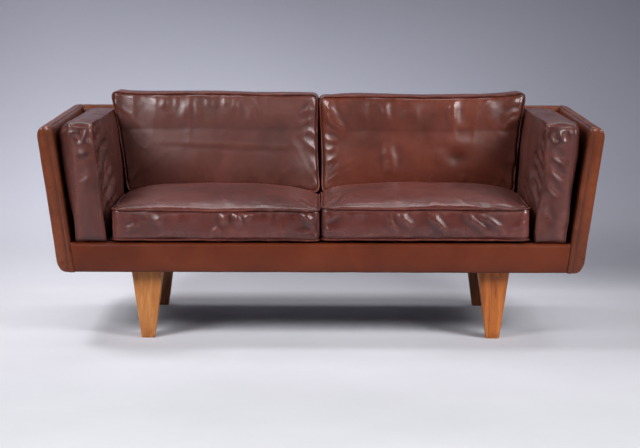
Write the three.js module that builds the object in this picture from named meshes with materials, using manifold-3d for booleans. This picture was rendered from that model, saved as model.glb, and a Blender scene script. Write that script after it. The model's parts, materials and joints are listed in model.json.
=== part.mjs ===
// A worn two-seat leather sofa: a beech base and three leaning panels (two arms and a back) wrapped in leather,
// six loose boxed cushions, and four tapered wooden legs.
// Millimetres. +Z up, -Y is the front, +X is the right-hand side of someone looking at the front. The origin is on
// the floor, at the middle of the sofa's length and depth.
import * as THREE from "three";
import { mergeVertices } from "three/addons/utils/BufferGeometryUtils.js";
import Module from "manifold-3d";

const wasm = await Module();
wasm.setup();

// ---------------------------------------------------------------- driving dimensions
const FRONT_Y = -410; // front face of arms and front rail
const LEG_H = 212; // underside of the upholstered body
const RAIL_TOP = 300; // top of the front rail and of the seat deck
const ARM_TOP = 655; // top of arms and back
const ARM_SLOPE = 0.14; // the arms lean outwards by this much for each millimetre up
const ARM_OUT = 793.7; // half width outside the arms at LEG_H
const ARM_T = 51.5; // arm thickness, measured level
const BACK_SLOPE = 0.24; // the back leans rearwards
const BACK_OUT = 308; // rear face of the back at LEG_H
const BACK_T = 52; // back thickness, measured level
const LEATHER = 2; // leather cover
const PAD = 7; // felt and wadding under the leather
const GAP = 0.3; // clearance between pieces that touch
const RAIL_T = 30; // base rails, thickness
const TIMBER_Z0 = 214.3; // underside of the base rails
const TIMBER_Z1 = 294.4; // top of the base rails
const STRAP_T = 3; // rubber webbing
const STRAP_W = 50;
const STRAP_PITCH = 220;
const LEG_X = 527; // middle of each leg
const LEG_TOP_W = 96;
const LEG_FOOT_W = 40;
const LEG_TOP_D = 62;
const LEG_FOOT_D = 38;
const LEG_FRONT_Y = -334; // middle of the front legs
const LEG_REAR_Y = 223;
const REAR_BOLT_Y = 205; // the rear legs' bolts stand forward of their middles, clear of the rear rail // middle of the rear legs
const SEAT_X0 = 3; // seat cushions, inner and outer edge
const SEAT_X1 = 629;
const SEAT_FRONT = -397;
const SEAT_REAR = 262;
const SEAT_Z0 = 300.3;
const SEAT_SEAM = 398; // top seam of the seat cushions

const C_SHELL = 0x7b4427;
const C_CUSHION = 0x5a322c;
const C_LEG = 0xb9702f;
const C_BEECH = 0xc9a070;

// ---------------------------------------------------------------- materials
const mat = (color, roughness, metalness = 0) =>
  new THREE.MeshStandardMaterial({ color, roughness, metalness });
const shellLeather = mat(C_SHELL, 0.42);
const cushionLeather = mat(C_CUSHION, 0.38);
const legWood = mat(C_LEG, 0.5);
const beech = mat(C_BEECH, 0.65);
const felt = mat(0x8d8578, 0.95);
const rubber = mat(0x3a2f28, 0.8);
const canvas = mat(0xb8a98c, 0.9);
const cambric = mat(0x1c1b1a, 0.95);
const board = mat(0x8a6a48, 0.85);
const steel = mat(0x9a9da0, 0.35, 1);

// ---------------------------------------------------------------- solids
const sofa = new THREE.Group();
sofa.name = "leather_sofa";

function solid(geometry) {
  const g = geometry.index ? geometry.toNonIndexed() : geometry.clone();
  for (const name of Object.keys(g.attributes))
    if (name !== "position") g.deleteAttribute(name);
  const m = mergeVertices(g, 1e-3);
  return new wasm.Manifold(
    new wasm.Mesh({
      numProp: 3,
      vertProperties: m.attributes.position.array,
      triVerts: new Uint32Array(m.index.array),
    }),
  );
}

function geometryOf(manifold) {
  const m = manifold.getMesh();
  const v = new Float32Array(m.numVert * 3);
  for (let i = 0; i < m.numVert; i++)
    v.set(m.vertProperties.subarray(i * m.numProp, i * m.numProp + 3), i * 3);
  const g = new THREE.BufferGeometry();
  g.setAttribute("position", new THREE.BufferAttribute(v, 3));
  g.setIndex(new THREE.BufferAttribute(new Uint32Array(m.triVerts), 1));
  g.computeVertexNormals();
  return g;
}

function add(name, what, material, parent = sofa) {
  const g = what instanceof THREE.BufferGeometry ? what : geometryOf(what);
  const mesh = new THREE.Mesh(g, material);
  mesh.name = name;
  parent.add(mesh);
  return mesh;
}

// A closed outline whose corners are rounded to the given radii.
function rounded(points, radii, steps = 5) {
  const out = [];
  const n = points.length;
  for (let i = 0; i < n; i++) {
    const p = new THREE.Vector2(...points[i]);
    const a = new THREE.Vector2(...points[(i + n - 1) % n]).sub(p).normalize();
    const b = new THREE.Vector2(...points[(i + 1) % n]).sub(p).normalize();
    const r = radii[i];
    if (!(r > 0.5)) {
      out.push(p);
      continue;
    }
    const half = Math.acos(THREE.MathUtils.clamp(a.dot(b), -1, 1)) / 2;
    const c = p
      .clone()
      .add(a.clone().add(b).normalize().multiplyScalar(r / Math.sin(half)));
    const t = r / Math.tan(half);
    const start = p.clone().addScaledVector(a, t).sub(c);
    const end = p.clone().addScaledVector(b, t).sub(c);
    let a0 = Math.atan2(start.y, start.x);
    let a1 = Math.atan2(end.y, end.x);
    if (a1 - a0 > Math.PI) a1 -= 2 * Math.PI;
    if (a0 - a1 > Math.PI) a1 += 2 * Math.PI;
    for (let k = 0; k <= steps; k++) {
      const w = a0 + ((a1 - a0) * k) / steps;
      out.push(
        new THREE.Vector2(c.x + r * Math.cos(w), c.y + r * Math.sin(w)),
      );
    }
  }
  return out;
}

function extrude(outline, depth) {
  const pts = outline.map((p) =>
    p.isVector2 ? p : new THREE.Vector2(p[0], p[1]),
  );
  return new THREE.ExtrudeGeometry(new THREE.Shape(pts), {
    depth,
    bevelEnabled: false,
  });
}
// outline in X and Z, swept along Y
function prismXZ(outline, y0, y1) {
  const g = extrude(outline, y1 - y0);
  g.translate(0, 0, -y1);
  g.rotateX(Math.PI / 2);
  return g;
}
// outline in Y and Z, swept along X
function prismYZ(outline, x0, x1) {
  const g = extrude(outline, x1 - x0);
  g.translate(0, 0, x0);
  g.applyMatrix4(
    new THREE.Matrix4().makeBasis(
      new THREE.Vector3(0, 1, 0),
      new THREE.Vector3(0, 0, 1),
      new THREE.Vector3(1, 0, 0),
    ),
  );
  return g;
}
// outline in X and Y, swept along Z
function prismXY(outline, z0, z1) {
  const g = extrude(outline, z1 - z0);
  g.translate(0, 0, z0);
  return g;
}
function block(x0, x1, y0, y1, z0, z1) {
  const g = new THREE.BoxGeometry(x1 - x0, y1 - y0, z1 - z0);
  g.translate((x0 + x1) / 2, (y0 + y1) / 2, (z0 + z1) / 2);
  return g;
}
function rodX(x0, x1, y, z, r, sides = 12) {
  const g = new THREE.CylinderGeometry(r, r, Math.abs(x1 - x0), sides);
  g.rotateZ(Math.PI / 2);
  g.translate((x0 + x1) / 2, y, z);
  return g;
}
function rodY(y0, y1, x, z, r, sides = 12) {
  const g = new THREE.CylinderGeometry(r, r, y1 - y0, sides);
  g.translate(x, (y0 + y1) / 2, z);
  return g;
}
function rodZ(z0, z1, x, y, r, sides = 12) {
  const g = new THREE.CylinderGeometry(r, r, z1 - z0, sides);
  g.rotateX(Math.PI / 2);
  g.translate(x, y, (z0 + z1) / 2);
  return g;
}

const armOut = (z) => ARM_OUT + ARM_SLOPE * (z - LEG_H);
const armIn = (z) => armOut(z) - ARM_T;
const backOut = (z) => BACK_OUT + BACK_SLOPE * (z - LEG_H);
const backIn = (z) => backOut(z) - BACK_T;
const ARM_K = Math.hypot(1, ARM_SLOPE);
const BACK_K = Math.hypot(1, BACK_SLOPE);

// ---------------------------------------------------------------- arms
// The outer form of an arm, drawn in by inset on every side. open lets it run out through the underside.
function armForm(side, inset, { open = false, floor = LEG_H + inset } = {}) {
  const z0 = open ? LEG_H - 20 : floor;
  const z1 = ARM_TOP - inset;
  const o = (z) => armOut(z) - inset * ARM_K;
  const i = (z) => armIn(z) + inset * ARM_K;
  const r = (x) => Math.max(x - inset, 0);
  const front = rounded(
    [
      [side * i(z0), z0],
      [side * o(z0), z0],
      [side * o(z1), z1],
      [side * i(z1), z1],
    ],
    [0, open ? 0 : r(32), r(36), r(8)],
  );
  const rear = (z) => backOut(z) - inset * BACK_K;
  const profile = rounded(
    [
      [FRONT_Y + inset, z0],
      [rear(z0), z0],
      [rear(z1), z1],
      [FRONT_Y + inset, z1],
    ],
    [open ? 0 : r(8), open ? 0 : r(14), r(16), r(20)],
  );
  const plan = rounded(
    [
      [side * (armIn(LEG_H) + inset * ARM_K), FRONT_Y + inset],
      [side * (armOut(LEG_H) - inset * ARM_K), FRONT_Y + inset],
      [side * (armOut(LEG_H) - inset * ARM_K), 500],
      [side * (armIn(LEG_H) + inset * ARM_K), 500],
    ],
    [r(6), r(22), 0, 0],
  );
  const leaning = prismXY(plan, LEG_H - 40, ARM_TOP + 20);
  const shear = new THREE.Matrix4().makeShear(0, 0, 0, 0, 0, 0);
  shear.elements[8] = side * ARM_SLOPE; // x grows with z
  leaning.translate(0, 0, -LEG_H);
  leaning.applyMatrix4(shear);
  leaning.translate(0, 0, LEG_H);
  return solid(prismXZ(front, FRONT_Y + inset - 0.01, 480))
    .intersect(solid(prismYZ(profile, side > 0 ? 650 : -950, side > 0 ? 950 : -650)))
    .intersect(solid(leaning));
}

const ARM_BOLTS_Y = [-250, 130];
const ARM_BOLT_Z = 262;
const TIMBER_IN = LEATHER + PAD + 2 * GAP; // inset of the panel timbers

function arm(side) {
  const tag = side > 0 ? "right" : "left";
  const group = new THREE.Group();
  group.name = tag + "_arm";
  sofa.add(group);
  const span = (a, b) => (side > 0 ? [a, b] : [-b, -a]);
  const boltHoles = (s, r = 4.3) => {
    for (const y of ARM_BOLTS_Y)
      s = s.subtract(
        solid(rodX(...span(690, armIn(ARM_BOLT_Z) + 37), y, ARM_BOLT_Z, r, 12)),
      );
    return s;
  };
  // leather cover, turned under and tacked along the underside
  const mouth = solid(
    block(
      ...span(armIn(LEG_H) + 8, armOut(LEG_H) - 34),
      FRONT_Y + 22,
      backOut(LEG_H) - 24,
      LEG_H - 5,
      LEG_H + 12,
    ),
  );
  const cover = armForm(side, 0)
    .subtract(armForm(side, LEATHER))
    .subtract(mouth);
  add(tag + "_arm_leather_cover", boltHoles(cover, 4.6), shellLeather, group);
  // felt and wadding under the leather
  const pad = armForm(side, LEATHER + GAP).subtract(
    armForm(side, LEATHER + GAP + PAD, { open: true }),
  );
  add(tag + "_arm_padding", boltHoles(pad, 4.6), felt, group);
  // beech frame inside: bottom rail, top rail, front and rear post, and an infill board between them
  const core = armForm(side, TIMBER_IN);
  const cut = (y0, y1, z0, z1) =>
    core.intersect(solid(block(...span(600, 950), y0, y1, z0, z1)));
  add(tag + "_arm_bottom_rail", boltHoles(cut(-500, 500, 200, 290)), beech, group);
  add(tag + "_arm_top_rail", cut(-500, 500, 600, 700), beech, group);
  add(tag + "_arm_front_post", cut(-500, -330, 290 + GAP, 600 - GAP), beech, group);
  // the rear post leans with the back
  const lean = rounded(
    [
      [backOut(290 + GAP) - 70, 290 + GAP],
      [500, 290 + GAP],
      [500, 600 - GAP],
      [backOut(600 - GAP) - 70, 600 - GAP],
    ],
    [0, 0, 0, 0],
  );
  add(
    tag + "_arm_rear_post",
    core.intersect(solid(prismYZ(lean, ...span(600, 950)))),
    beech,
    group,
  );
  const infill = prismXZ(
    [
      [side * (armIn(292) + 24), 292],
      [side * (armIn(292) + 28), 292],
      [side * (armIn(598) + 28), 598],
      [side * (armIn(598) + 24), 598],
    ],
    -329,
    400,
  );
  const infillEdge = prismYZ(
    [
      [-329, 292],
      [backOut(292) - 71, 292],
      [backOut(598) - 71, 598],
      [-329, 598],
    ],
    ...span(600, 950),
  );
  add(
    tag + "_arm_infill_board",
    solid(infill).intersect(solid(infillEdge)),
    board,
    group,
  );
  // bolts that hold the arm to the base's side rail, heads inside the base
  ARM_BOLTS_Y.forEach((y, k) => {
    const head = armIn(ARM_BOLT_Z) - GAP - RAIL_T - GAP - 1.6;
    const shank = solid(
      rodX(...span(head - 1, armIn(ARM_BOLT_Z) + 35), y, ARM_BOLT_Z, 4, 12),
    );
    const hex = solid(rodX(...span(head - 8, head), y, ARM_BOLT_Z, 9, 6));
    add(
      tag + "_arm_bolt_" + (k ? "rear" : "front"),
      shank.add(hex),
      steel,
      group,
    );
  });
}
arm(1);
arm(-1);

// the wedge of space between the two arms, drawn in by gap, for everything that butts against them
function betweenArms(gap, z0 = LEG_H - 30, z1 = ARM_TOP + 30) {
  return solid(
    prismXZ(
      [
        [-(armIn(z0) - gap), z0],
        [armIn(z0) - gap, z0],
        [armIn(z1) - gap, z1],
        [-(armIn(z1) - gap), z1],
      ],
      -600,
      600,
    ),
  );
}

// ---------------------------------------------------------------- back
function backForm(inset, { open = false } = {}) {
  const z0 = open ? LEG_H - 20 : LEG_H + inset;
  const z1 = ARM_TOP - inset;
  const o = (z) => backOut(z) - inset * BACK_K;
  const i = (z) => backIn(z) + inset * BACK_K;
  const r = (x) => Math.max(x - inset, 0);
  const outline = rounded(
    [
      [i(z0), z0],
      [o(z0), z0],
      [o(z1), z1],
      [i(z1), z1],
    ],
    [0, open ? 0 : r(14), r(20), r(10)],
  );
  return solid(prismYZ(outline, -900, 900));
}
const BACK_BOLTS_X = [-380, 380];
const BACK_BOLT_Z = 262;
{
  const group = new THREE.Group();
  group.name = "back";
  sofa.add(group);
  const boltHoles = (s, r = 4.3) => {
    for (const x of BACK_BOLTS_X)
      s = s.subtract(
        solid(rodY(200, backIn(BACK_BOLT_Z) + 35, x, BACK_BOLT_Z, r, 12)),
      );
    return s;
  };
  const mouth = solid(
    block(-900, 900, backIn(LEG_H) + 8, backOut(LEG_H) - 18, LEG_H - 5, LEG_H + 12),
  );
  add(
    "back_leather_cover",
    boltHoles(
      backForm(0)
        .subtract(backForm(LEATHER))
        .subtract(mouth)
        .intersect(betweenArms(GAP)),
      4.6,
    ),
    shellLeather,
    group,
  );
  add(
    "back_padding",
    boltHoles(
      backForm(LEATHER + GAP)
        .subtract(backForm(LEATHER + GAP + PAD, { open: true }))
        .intersect(betweenArms(2 * GAP)),
      4.6,
    ),
    felt,
    group,
  );
  const core = backForm(TIMBER_IN).intersect(betweenArms(2 * GAP));
  const cut = (x0, x1, z0, z1) =>
    core.intersect(solid(block(x0, x1, 100, 600, z0, z1)));
  add("back_bottom_rail", boltHoles(cut(-900, 900, 200, 290)), beech, group);
  add("back_top_rail", cut(-900, 900, 600, 700), beech, group);
  add("back_left_post", cut(-900, -690, 290 + GAP, 600 - GAP), beech, group);
  add("back_right_post", cut(690, 900, 290 + GAP, 600 - GAP), beech, group);
  add(
    "back_infill_board",
    prismYZ(
      [
        [backIn(292) + 24, 292],
        [backIn(292) + 28, 292],
        [backIn(598) + 28, 598],
        [backIn(598) + 24, 598],
      ],
      -689,
      689,
    ),
    board,
    group,
  );
  BACK_BOLTS_X.forEach((x, k) => {
    const head = backIn(BACK_BOLT_Z) - GAP - RAIL_T - GAP - 2.6;
    const shank = solid(
      rodY(head - 1, backIn(BACK_BOLT_Z) + 33, x, BACK_BOLT_Z, 4, 12),
    );
    const hex = solid(rodY(head - 8, head, x, BACK_BOLT_Z, 9, 6));
    add("back_bolt_" + ["left", "right"][k], shank.add(hex), steel, group);
  });
}

// ---------------------------------------------------------------- base
{
  const group = new THREE.Group();
  group.name = "base";
  sofa.add(group);
  const fit = betweenArms(GAP);
  const RAIL_Y0 = FRONT_Y + LEATHER + GAP + 5.4 + GAP; // front face of the front rail's timber
  const RAIL_Y1 = RAIL_Y0 + RAIL_T;
  // front rail: leather over a thin pad, over beech
  const section = rounded(
    [
      [FRONT_Y, LEG_H],
      [FRONT_Y + 60, LEG_H],
      [FRONT_Y + 60, RAIL_TOP],
      [FRONT_Y, RAIL_TOP],
    ],
    [7, 0, 0, 10],
  );
  const hollow = rounded(
    [
      [FRONT_Y + LEATHER, LEG_H + LEATHER],
      [FRONT_Y + 80, LEG_H + LEATHER],
      [FRONT_Y + 80, RAIL_TOP - LEATHER],
      [FRONT_Y + LEATHER, RAIL_TOP - LEATHER],
    ],
    [5, 0, 0, 5],
  );
  add(
    "front_rail_leather_cover",
    solid(prismYZ(section, -900, 900))
      .subtract(solid(prismYZ(hollow, -901, 901)))
      .subtract(solid(block(-901, 901, FRONT_Y + 32, -300, LEG_H - 5, LEG_H + 5)))
      .intersect(fit),
    shellLeather,
    group,
  );
  const padding = rounded(
    [
      [FRONT_Y + LEATHER + GAP, LEG_H + LEATHER + GAP],
      [RAIL_Y0 - GAP, LEG_H + LEATHER + GAP],
      [RAIL_Y0 - GAP, RAIL_TOP - LEATHER - GAP],
      [FRONT_Y + LEATHER + GAP, RAIL_TOP - LEATHER - GAP],
    ],
    [4.7, 0, 0, 4.7],
  );
  add(
    "front_rail_padding",
    solid(prismYZ(padding, -900, 900)).intersect(fit),
    felt,
    group,
  );
  add(
    "front_rail",
    solid(block(-900, 900, RAIL_Y0, RAIL_Y1, LEG_H + LEATHER + GAP, TIMBER_Z1)).intersect(fit),
    beech,
    group,
  );
  // rear rail, leaning with the back and bolted to it
  let rear = solid(
    prismYZ(
      [
        [backIn(TIMBER_Z0) - GAP - RAIL_T, TIMBER_Z0],
        [backIn(TIMBER_Z0) - GAP, TIMBER_Z0],
        [backIn(TIMBER_Z1) - GAP, TIMBER_Z1],
        [backIn(TIMBER_Z1) - GAP - RAIL_T, TIMBER_Z1],
      ],
      -900,
      900,
    ),
  ).intersect(fit);
  for (const x of BACK_BOLTS_X)
    rear = rear.subtract(solid(rodY(180, 300, x, BACK_BOLT_Z, 4.3, 12)));
  add("rear_rail", rear, beech, group);
  // side rails, leaning with the arms and bolted to them
  const rearLimit = [
    [RAIL_Y1 + GAP, TIMBER_Z0],
    [backIn(TIMBER_Z0) - 2 * GAP - RAIL_T, TIMBER_Z0],
    [backIn(TIMBER_Z1) - 2 * GAP - RAIL_T, TIMBER_Z1],
    [RAIL_Y1 + GAP, TIMBER_Z1],
  ];
  for (const side of [-1, 1]) {
    const rail = prismXZ(
      [
        [side * (armIn(TIMBER_Z0) - GAP - RAIL_T), TIMBER_Z0],
        [side * (armIn(TIMBER_Z0) - GAP), TIMBER_Z0],
        [side * (armIn(TIMBER_Z1) - GAP), TIMBER_Z1],
        [side * (armIn(TIMBER_Z1) - GAP - RAIL_T), TIMBER_Z1],
      ],
      -500,
      400,
    );
    let s = solid(rail).intersect(solid(prismYZ(rearLimit, -900, 900)));
    for (const y of ARM_BOLTS_Y)
      s = s.subtract(
        solid(rodX(...(side > 0 ? [690, 800] : [-800, -690]), y, ARM_BOLT_Z, 4.3, 12)),
      );
    add(side > 0 ? "right_side_rail" : "left_side_rail", s, beech, group);
  }
  // centre stretcher, set low so that the webbing can sag over it
  add(
    "centre_stretcher",
    prismYZ(
      [
        [RAIL_Y1 + GAP, TIMBER_Z0],
        [backIn(TIMBER_Z0) - 2 * GAP - RAIL_T, TIMBER_Z0],
        [backIn(250) - 2 * GAP - RAIL_T, 250],
        [RAIL_Y1 + GAP, 250],
      ],
      -16,
      16,
    ),
    beech,
    group,
  );
  // rubber webbing, front to back
  for (let k = 0; k < 6; k++) {
    const x = (k - 2.5) * STRAP_PITCH;
    add(
      "webbing_strap_" + (k + 1),
      block(
        x - STRAP_W / 2,
        x + STRAP_W / 2,
        RAIL_Y0 + 4,
        backIn(TIMBER_Z1) - GAP - 4,
        TIMBER_Z1 + GAP,
        TIMBER_Z1 + GAP + STRAP_T,
      ),
      rubber,
      group,
    );
  }
  // deck cloth over the webbing, sewn to the leather of the front rail
  add(
    "seat_deck_cloth",
    solid(
      block(-900, 900, FRONT_Y + 60 + GAP, backIn(298) - 0.6, TIMBER_Z1 + STRAP_T + 2 * GAP, RAIL_TOP - GAP),
    ).intersect(betweenArms(0.6)),
    canvas,
    group,
  );
  // leg blocks, glued and screwed behind the front rail and before the rear rail
  const blocks = [
    ["front_left", -1, RAIL_Y1 + GAP, -292, LEG_FRONT_Y],
    ["front_right", 1, RAIL_Y1 + GAP, -292, LEG_FRONT_Y],
    ["rear_left", -1, 160, backIn(TIMBER_Z0) - 2 * GAP - RAIL_T, REAR_BOLT_Y],
    ["rear_right", 1, 160, backIn(TIMBER_Z0) - 2 * GAP - RAIL_T, REAR_BOLT_Y],
  ];
  // cloth under the base, with a hole for each leg's bolt
  let dust = solid(
    block(-900, 900, FRONT_Y + 32.4, backIn(LEG_H) - 0.6, LEG_H, 213.9),
  ).intersect(betweenArms(0.6));
  for (const [name, side, y0, y1, yb] of blocks) {
    const x = side * LEG_X;
    add(
      name + "_leg_block",
      solid(block(x - 60, x + 60, y0, y1, TIMBER_Z0, 274)).subtract(
        solid(rodZ(200, 265, x, yb, 5.3)),
      ),
      beech,
      group,
    );
    dust = dust.subtract(solid(rodZ(200, 230, x, yb, 5.6)));
  }
  add("underside_dust_cloth", dust, cambric, group);
}

// ---------------------------------------------------------------- legs
// A square-cut leg that tapers on all four sides, bored from above for its bolt.
function legForm(boltY) {
  const top = LEG_H - GAP;
  const g = new THREE.BoxGeometry(1, 1, top);
  g.translate(0, 0, top / 2);
  const p = g.attributes.position;
  for (let i = 0; i < p.count; i++) {
    const up = p.getZ(i) > top / 2;
    p.setX(i, Math.sign(p.getX(i)) * ((up ? LEG_TOP_W : LEG_FOOT_W) / 2));
    p.setY(i, Math.sign(p.getY(i)) * ((up ? LEG_TOP_D : LEG_FOOT_D) / 2));
  }
  return solid(g).subtract(solid(rodZ(150, 240, 0, boltY, 5.3)));
}
const frontLeg = geometryOf(legForm(0));
const rearLeg = geometryOf(legForm(REAR_BOLT_Y - LEG_REAR_Y));
const frontBolt = rodZ(151, 262, 0, 0, 5);
const rearBolt = rodZ(151, 262, 0, REAR_BOLT_Y - LEG_REAR_Y, 5);
for (const [name, x, y, leg, bolt] of [
  ["front_left", -LEG_X, LEG_FRONT_Y, frontLeg, frontBolt],
  ["front_right", LEG_X, LEG_FRONT_Y, frontLeg, frontBolt],
  ["rear_left", -LEG_X, LEG_REAR_Y, rearLeg, rearBolt],
  ["rear_right", LEG_X, LEG_REAR_Y, rearLeg, rearBolt],
]) {
  const group = new THREE.Group();
  group.name = name;
  group.position.set(x, y, 0);
  sofa.add(group);
  add(name + "_leg", leg, legWood, group);
  add(name + "_leg_bolt", bolt, steel, group);
}

// ---------------------------------------------------------------- cushions
// A boxed cushion: two big faces, each with its own crown, and a boxing strip between their seams that swells.
// place(u, v, t) takes -1 to 1 across the face, up or along the face, and through the thickness, to the flat-sided
// form. crown(u, v, t) is how far a big face stands out along normal.
const bell = (a, e = 2.4) => 1 - Math.pow(Math.abs(a), e);
const dome = (u, v, e = 2.4, p = 0.62) => Math.pow(bell(u, e) * bell(v, e), p);
const ramp = THREE.MathUtils.smoothstep;
const mix = THREE.MathUtils.lerp;
const V = (x, y, z) => new THREE.Vector3(x, y, z);
function cushion({ nx, ny, nz, place, crown, normal, across, along, limit }) {
  const g = new THREE.BoxGeometry(2, 2, 2, nx, ny, nz);
  const p = g.attributes.position;
  for (let i = 0; i < p.count; i++) {
    const u = p.getX(i);
    const v = p.getY(i);
    const t = p.getZ(i);
    const q = place(u, v, t);
    q.addScaledVector(normal, crown(u, v, t) * t);
    q.addScaledVector(across, Math.sign(u) * Math.pow(Math.abs(u), 6) * bell(t, 2) * bell(v, 6));
    q.addScaledVector(along, Math.sign(v) * Math.pow(Math.abs(v), 6) * bell(t, 2) * bell(u, 6));
    if (limit) limit(q);
    p.setXYZ(i, q.x, q.y, q.z);
  }
  // a mirrored placing turns the faces round
  const o = place(0, 0, 0);
  const [a, b, c] = [place(0.1, 0, 0), place(0, 0.1, 0), place(0, 0, 0.1)].map((q) => q.sub(o));
  if (a.cross(b).dot(c) < 0) {
    const index = g.index.array;
    for (let i = 0; i < index.length; i += 3)
      [index[i], index[i + 1]] = [index[i + 1], index[i]];
  }
  return g;
}
for (const side of [-1, 1]) {
  const tag = side > 0 ? "right" : "left";
  // seat: lower and flatter towards the rear, where the back cushion presses on it
  add(
    tag + "_seat_cushion",
    solid(
      cushion({
        nx: 10,
        ny: 12,
        nz: 4,
        place: (u, v, t) =>
          V(
            side * mix(SEAT_X0, SEAT_X1, (side * u + 1) / 2),
            mix(SEAT_FRONT, SEAT_REAR, (v + 1) / 2),
            mix(SEAT_Z0, SEAT_SEAM - 12 * ramp(v, 0.2, 0.8), (t + 1) / 2),
          ),
        crown: (u, v, t) => (t > 0 ? 30 * dome(u, v) * (1 - 0.75 * ramp(v, 0.15, 0.65)) : 0),
        normal: V(0, 0, 1),
        across: V(1.5, 0, 0),
        along: V(0, 5, 0),
      }),
    ),
    cushionLeather,
  );
  // arm cushion: stands on the deck, leans with the arm and presses against it
  add(
    tag + "_arm_cushion",
    solid(
      cushion({
        nx: 12,
        ny: 8,
        nz: 4,
        // u runs front to rear, v up, t outwards
        place: (u, v, t) => {
          const z = mix(SEAT_Z0, 651, (v + 1) / 2);
          const s = (z - 303) / 340;
          const inner = mix(648, 681, s);
          const outer = mix(736, 758, s);
          return V(
            side * mix(inner, outer, (t + 1) / 2),
            mix(-395, mix(262, 340, s), (u + 1) / 2),
            z,
          );
        },
        crown: (u, v, t) => (t > 0 ? 38 * dome(u, v, 5, 0.6) : 14 * dome(u, v)),
        normal: V(side, 0, 0.08),
        across: V(0, 5, 0),
        along: V(0, 0, 0),
        limit: (q) => {
          q.x = side * Math.min(Math.abs(q.x), armIn(q.z) - 4);
        },
      }),
    ),
    cushionLeather,
  );
  // back cushion: stands on the seat cushion and leans on the back
  add(
    tag + "_back_cushion",
    solid(
      cushion({
        nx: 12,
        ny: 8,
        nz: 4,
        // u across, v up, t towards the rear
        place: (u, v, t) => {
          const s = (v + 1) / 2;
          const z = mix(411, 703, s) - 6 * ((t + 1) / 2);
          const outerX = mix(622, 674, s);
          const half = (side * u + 1) / 2;
          const y = mix(mix(150, 212, s), mix(282, 342, s), (t + 1) / 2);
          return V(side * mix(8, outerX, half), y, z);
        },
        crown: (u, v, t) => (t > 0 ? 13 * dome(u, v) : 26 * dome(u, v)),
        normal: V(0, 1, -0.2),
        across: V(4, 0, 0),
        along: V(0, 1.6, 8),
      }),
    ),
    cushionLeather,
  );
}

export default sofa;
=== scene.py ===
import json
import math

import bpy
import numpy as np
from mathutils import Matrix, Vector


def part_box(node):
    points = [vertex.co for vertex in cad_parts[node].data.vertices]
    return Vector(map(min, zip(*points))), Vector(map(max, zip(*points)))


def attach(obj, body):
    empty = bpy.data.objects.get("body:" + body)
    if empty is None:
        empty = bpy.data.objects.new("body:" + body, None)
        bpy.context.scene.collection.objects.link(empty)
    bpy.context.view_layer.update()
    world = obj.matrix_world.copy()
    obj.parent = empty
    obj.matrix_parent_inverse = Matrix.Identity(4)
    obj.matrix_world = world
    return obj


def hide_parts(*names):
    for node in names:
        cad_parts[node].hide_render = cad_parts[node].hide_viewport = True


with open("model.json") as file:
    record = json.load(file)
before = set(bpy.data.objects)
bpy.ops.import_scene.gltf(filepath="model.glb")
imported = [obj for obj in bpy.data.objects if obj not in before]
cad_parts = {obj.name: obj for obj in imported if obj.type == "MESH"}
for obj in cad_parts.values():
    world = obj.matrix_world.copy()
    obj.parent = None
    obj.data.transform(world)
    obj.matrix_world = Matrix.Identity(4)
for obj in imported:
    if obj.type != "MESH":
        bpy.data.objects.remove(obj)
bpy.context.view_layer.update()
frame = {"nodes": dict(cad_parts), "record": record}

# ------------------------------------------------------------------ sizes shared with the CAD model (metres)
FRONT_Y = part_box("front_rail_leather_cover")[0].y
LEG_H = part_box("front_rail_leather_cover")[0].z
RAIL_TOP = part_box("front_rail_leather_cover")[1].z
ARM_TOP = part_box("left_arm_leather_cover")[1].z
ARM_SLOPE = 0.14
ARM_OUT = 0.7937
ARM_T = 0.0515
BACK_SLOPE = 0.24
BACK_OUT = 0.308
BACK_T = 0.052


def arm_out(z):
    return ARM_OUT + ARM_SLOPE * (z - LEG_H)


def arm_in(z):
    return arm_out(z) - ARM_T


def back_out(z):
    return BACK_OUT + BACK_SLOPE * (z - LEG_H)


def back_in(z):
    return back_out(z) - BACK_T


# ------------------------------------------------------------------ numbers
def smooth(x, a, b):
    t = np.clip((x - a) / (b - a), 0, 1)
    return t * t * (3 - 2 * t)


def mix(a, b, t):
    return a + (b - a) * t


def bell(a, e=2.4):
    return np.maximum(1 - np.abs(a) ** e, 0)


def dome(u, v, e=2.4, p=0.62):
    return (bell(u, e) * bell(v, e)) ** p


def hash3(ix, iy, iz, seed):
    h = (
        ix.astype(np.int64) * 374761393
        + iy.astype(np.int64) * 668265263
        + iz.astype(np.int64) * 1440662683
        + int(seed) * 974634777
    ) & 0xFFFFFFFF
    h = ((h ^ (h >> 13)) * 1274126177) & 0xFFFFFFFF
    h = ((h ^ (h >> 15)) * 2246822519) & 0xFFFFFFFF
    return ((h ^ (h >> 16)) & 0xFFFF) / 32767.5 - 1


def noise(P, seed=0):
    """Smooth value noise, -1 to 1, at points P (..., 2 or 3)."""
    P = np.asarray(P, float)
    if P.shape[-1] == 2:
        P = np.concatenate([P, np.zeros(P.shape[:-1] + (1,))], -1)
    i = np.floor(P)
    f = P - i
    f = f * f * f * (f * (f * 6 - 15) + 10)
    i = i.astype(np.int64)
    out = 0
    for dx in (0, 1):
        for dy in (0, 1):
            for dz in (0, 1):
                w = (
                    (f[..., 0] if dx else 1 - f[..., 0])
                    * (f[..., 1] if dy else 1 - f[..., 1])
                    * (f[..., 2] if dz else 1 - f[..., 2])
                )
                out = out + w * hash3(i[..., 0] + dx, i[..., 1] + dy, i[..., 2] + dz, seed)
    return out


def fbm(P, seed=0, octaves=3):
    total, amp, norm = 0, 1.0, 0
    P = np.asarray(P, float)
    for k in range(octaves):
        total = total + amp * noise(P * 2.03**k + 7.3 * k, seed + k)
        norm += amp
        amp *= 0.5
    return total / norm


def ridge(x, sharp=2.0):
    return (1 - np.abs(x)) ** sharp


def gauss(x, w):
    return np.exp(-((x / w) ** 2))


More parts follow.
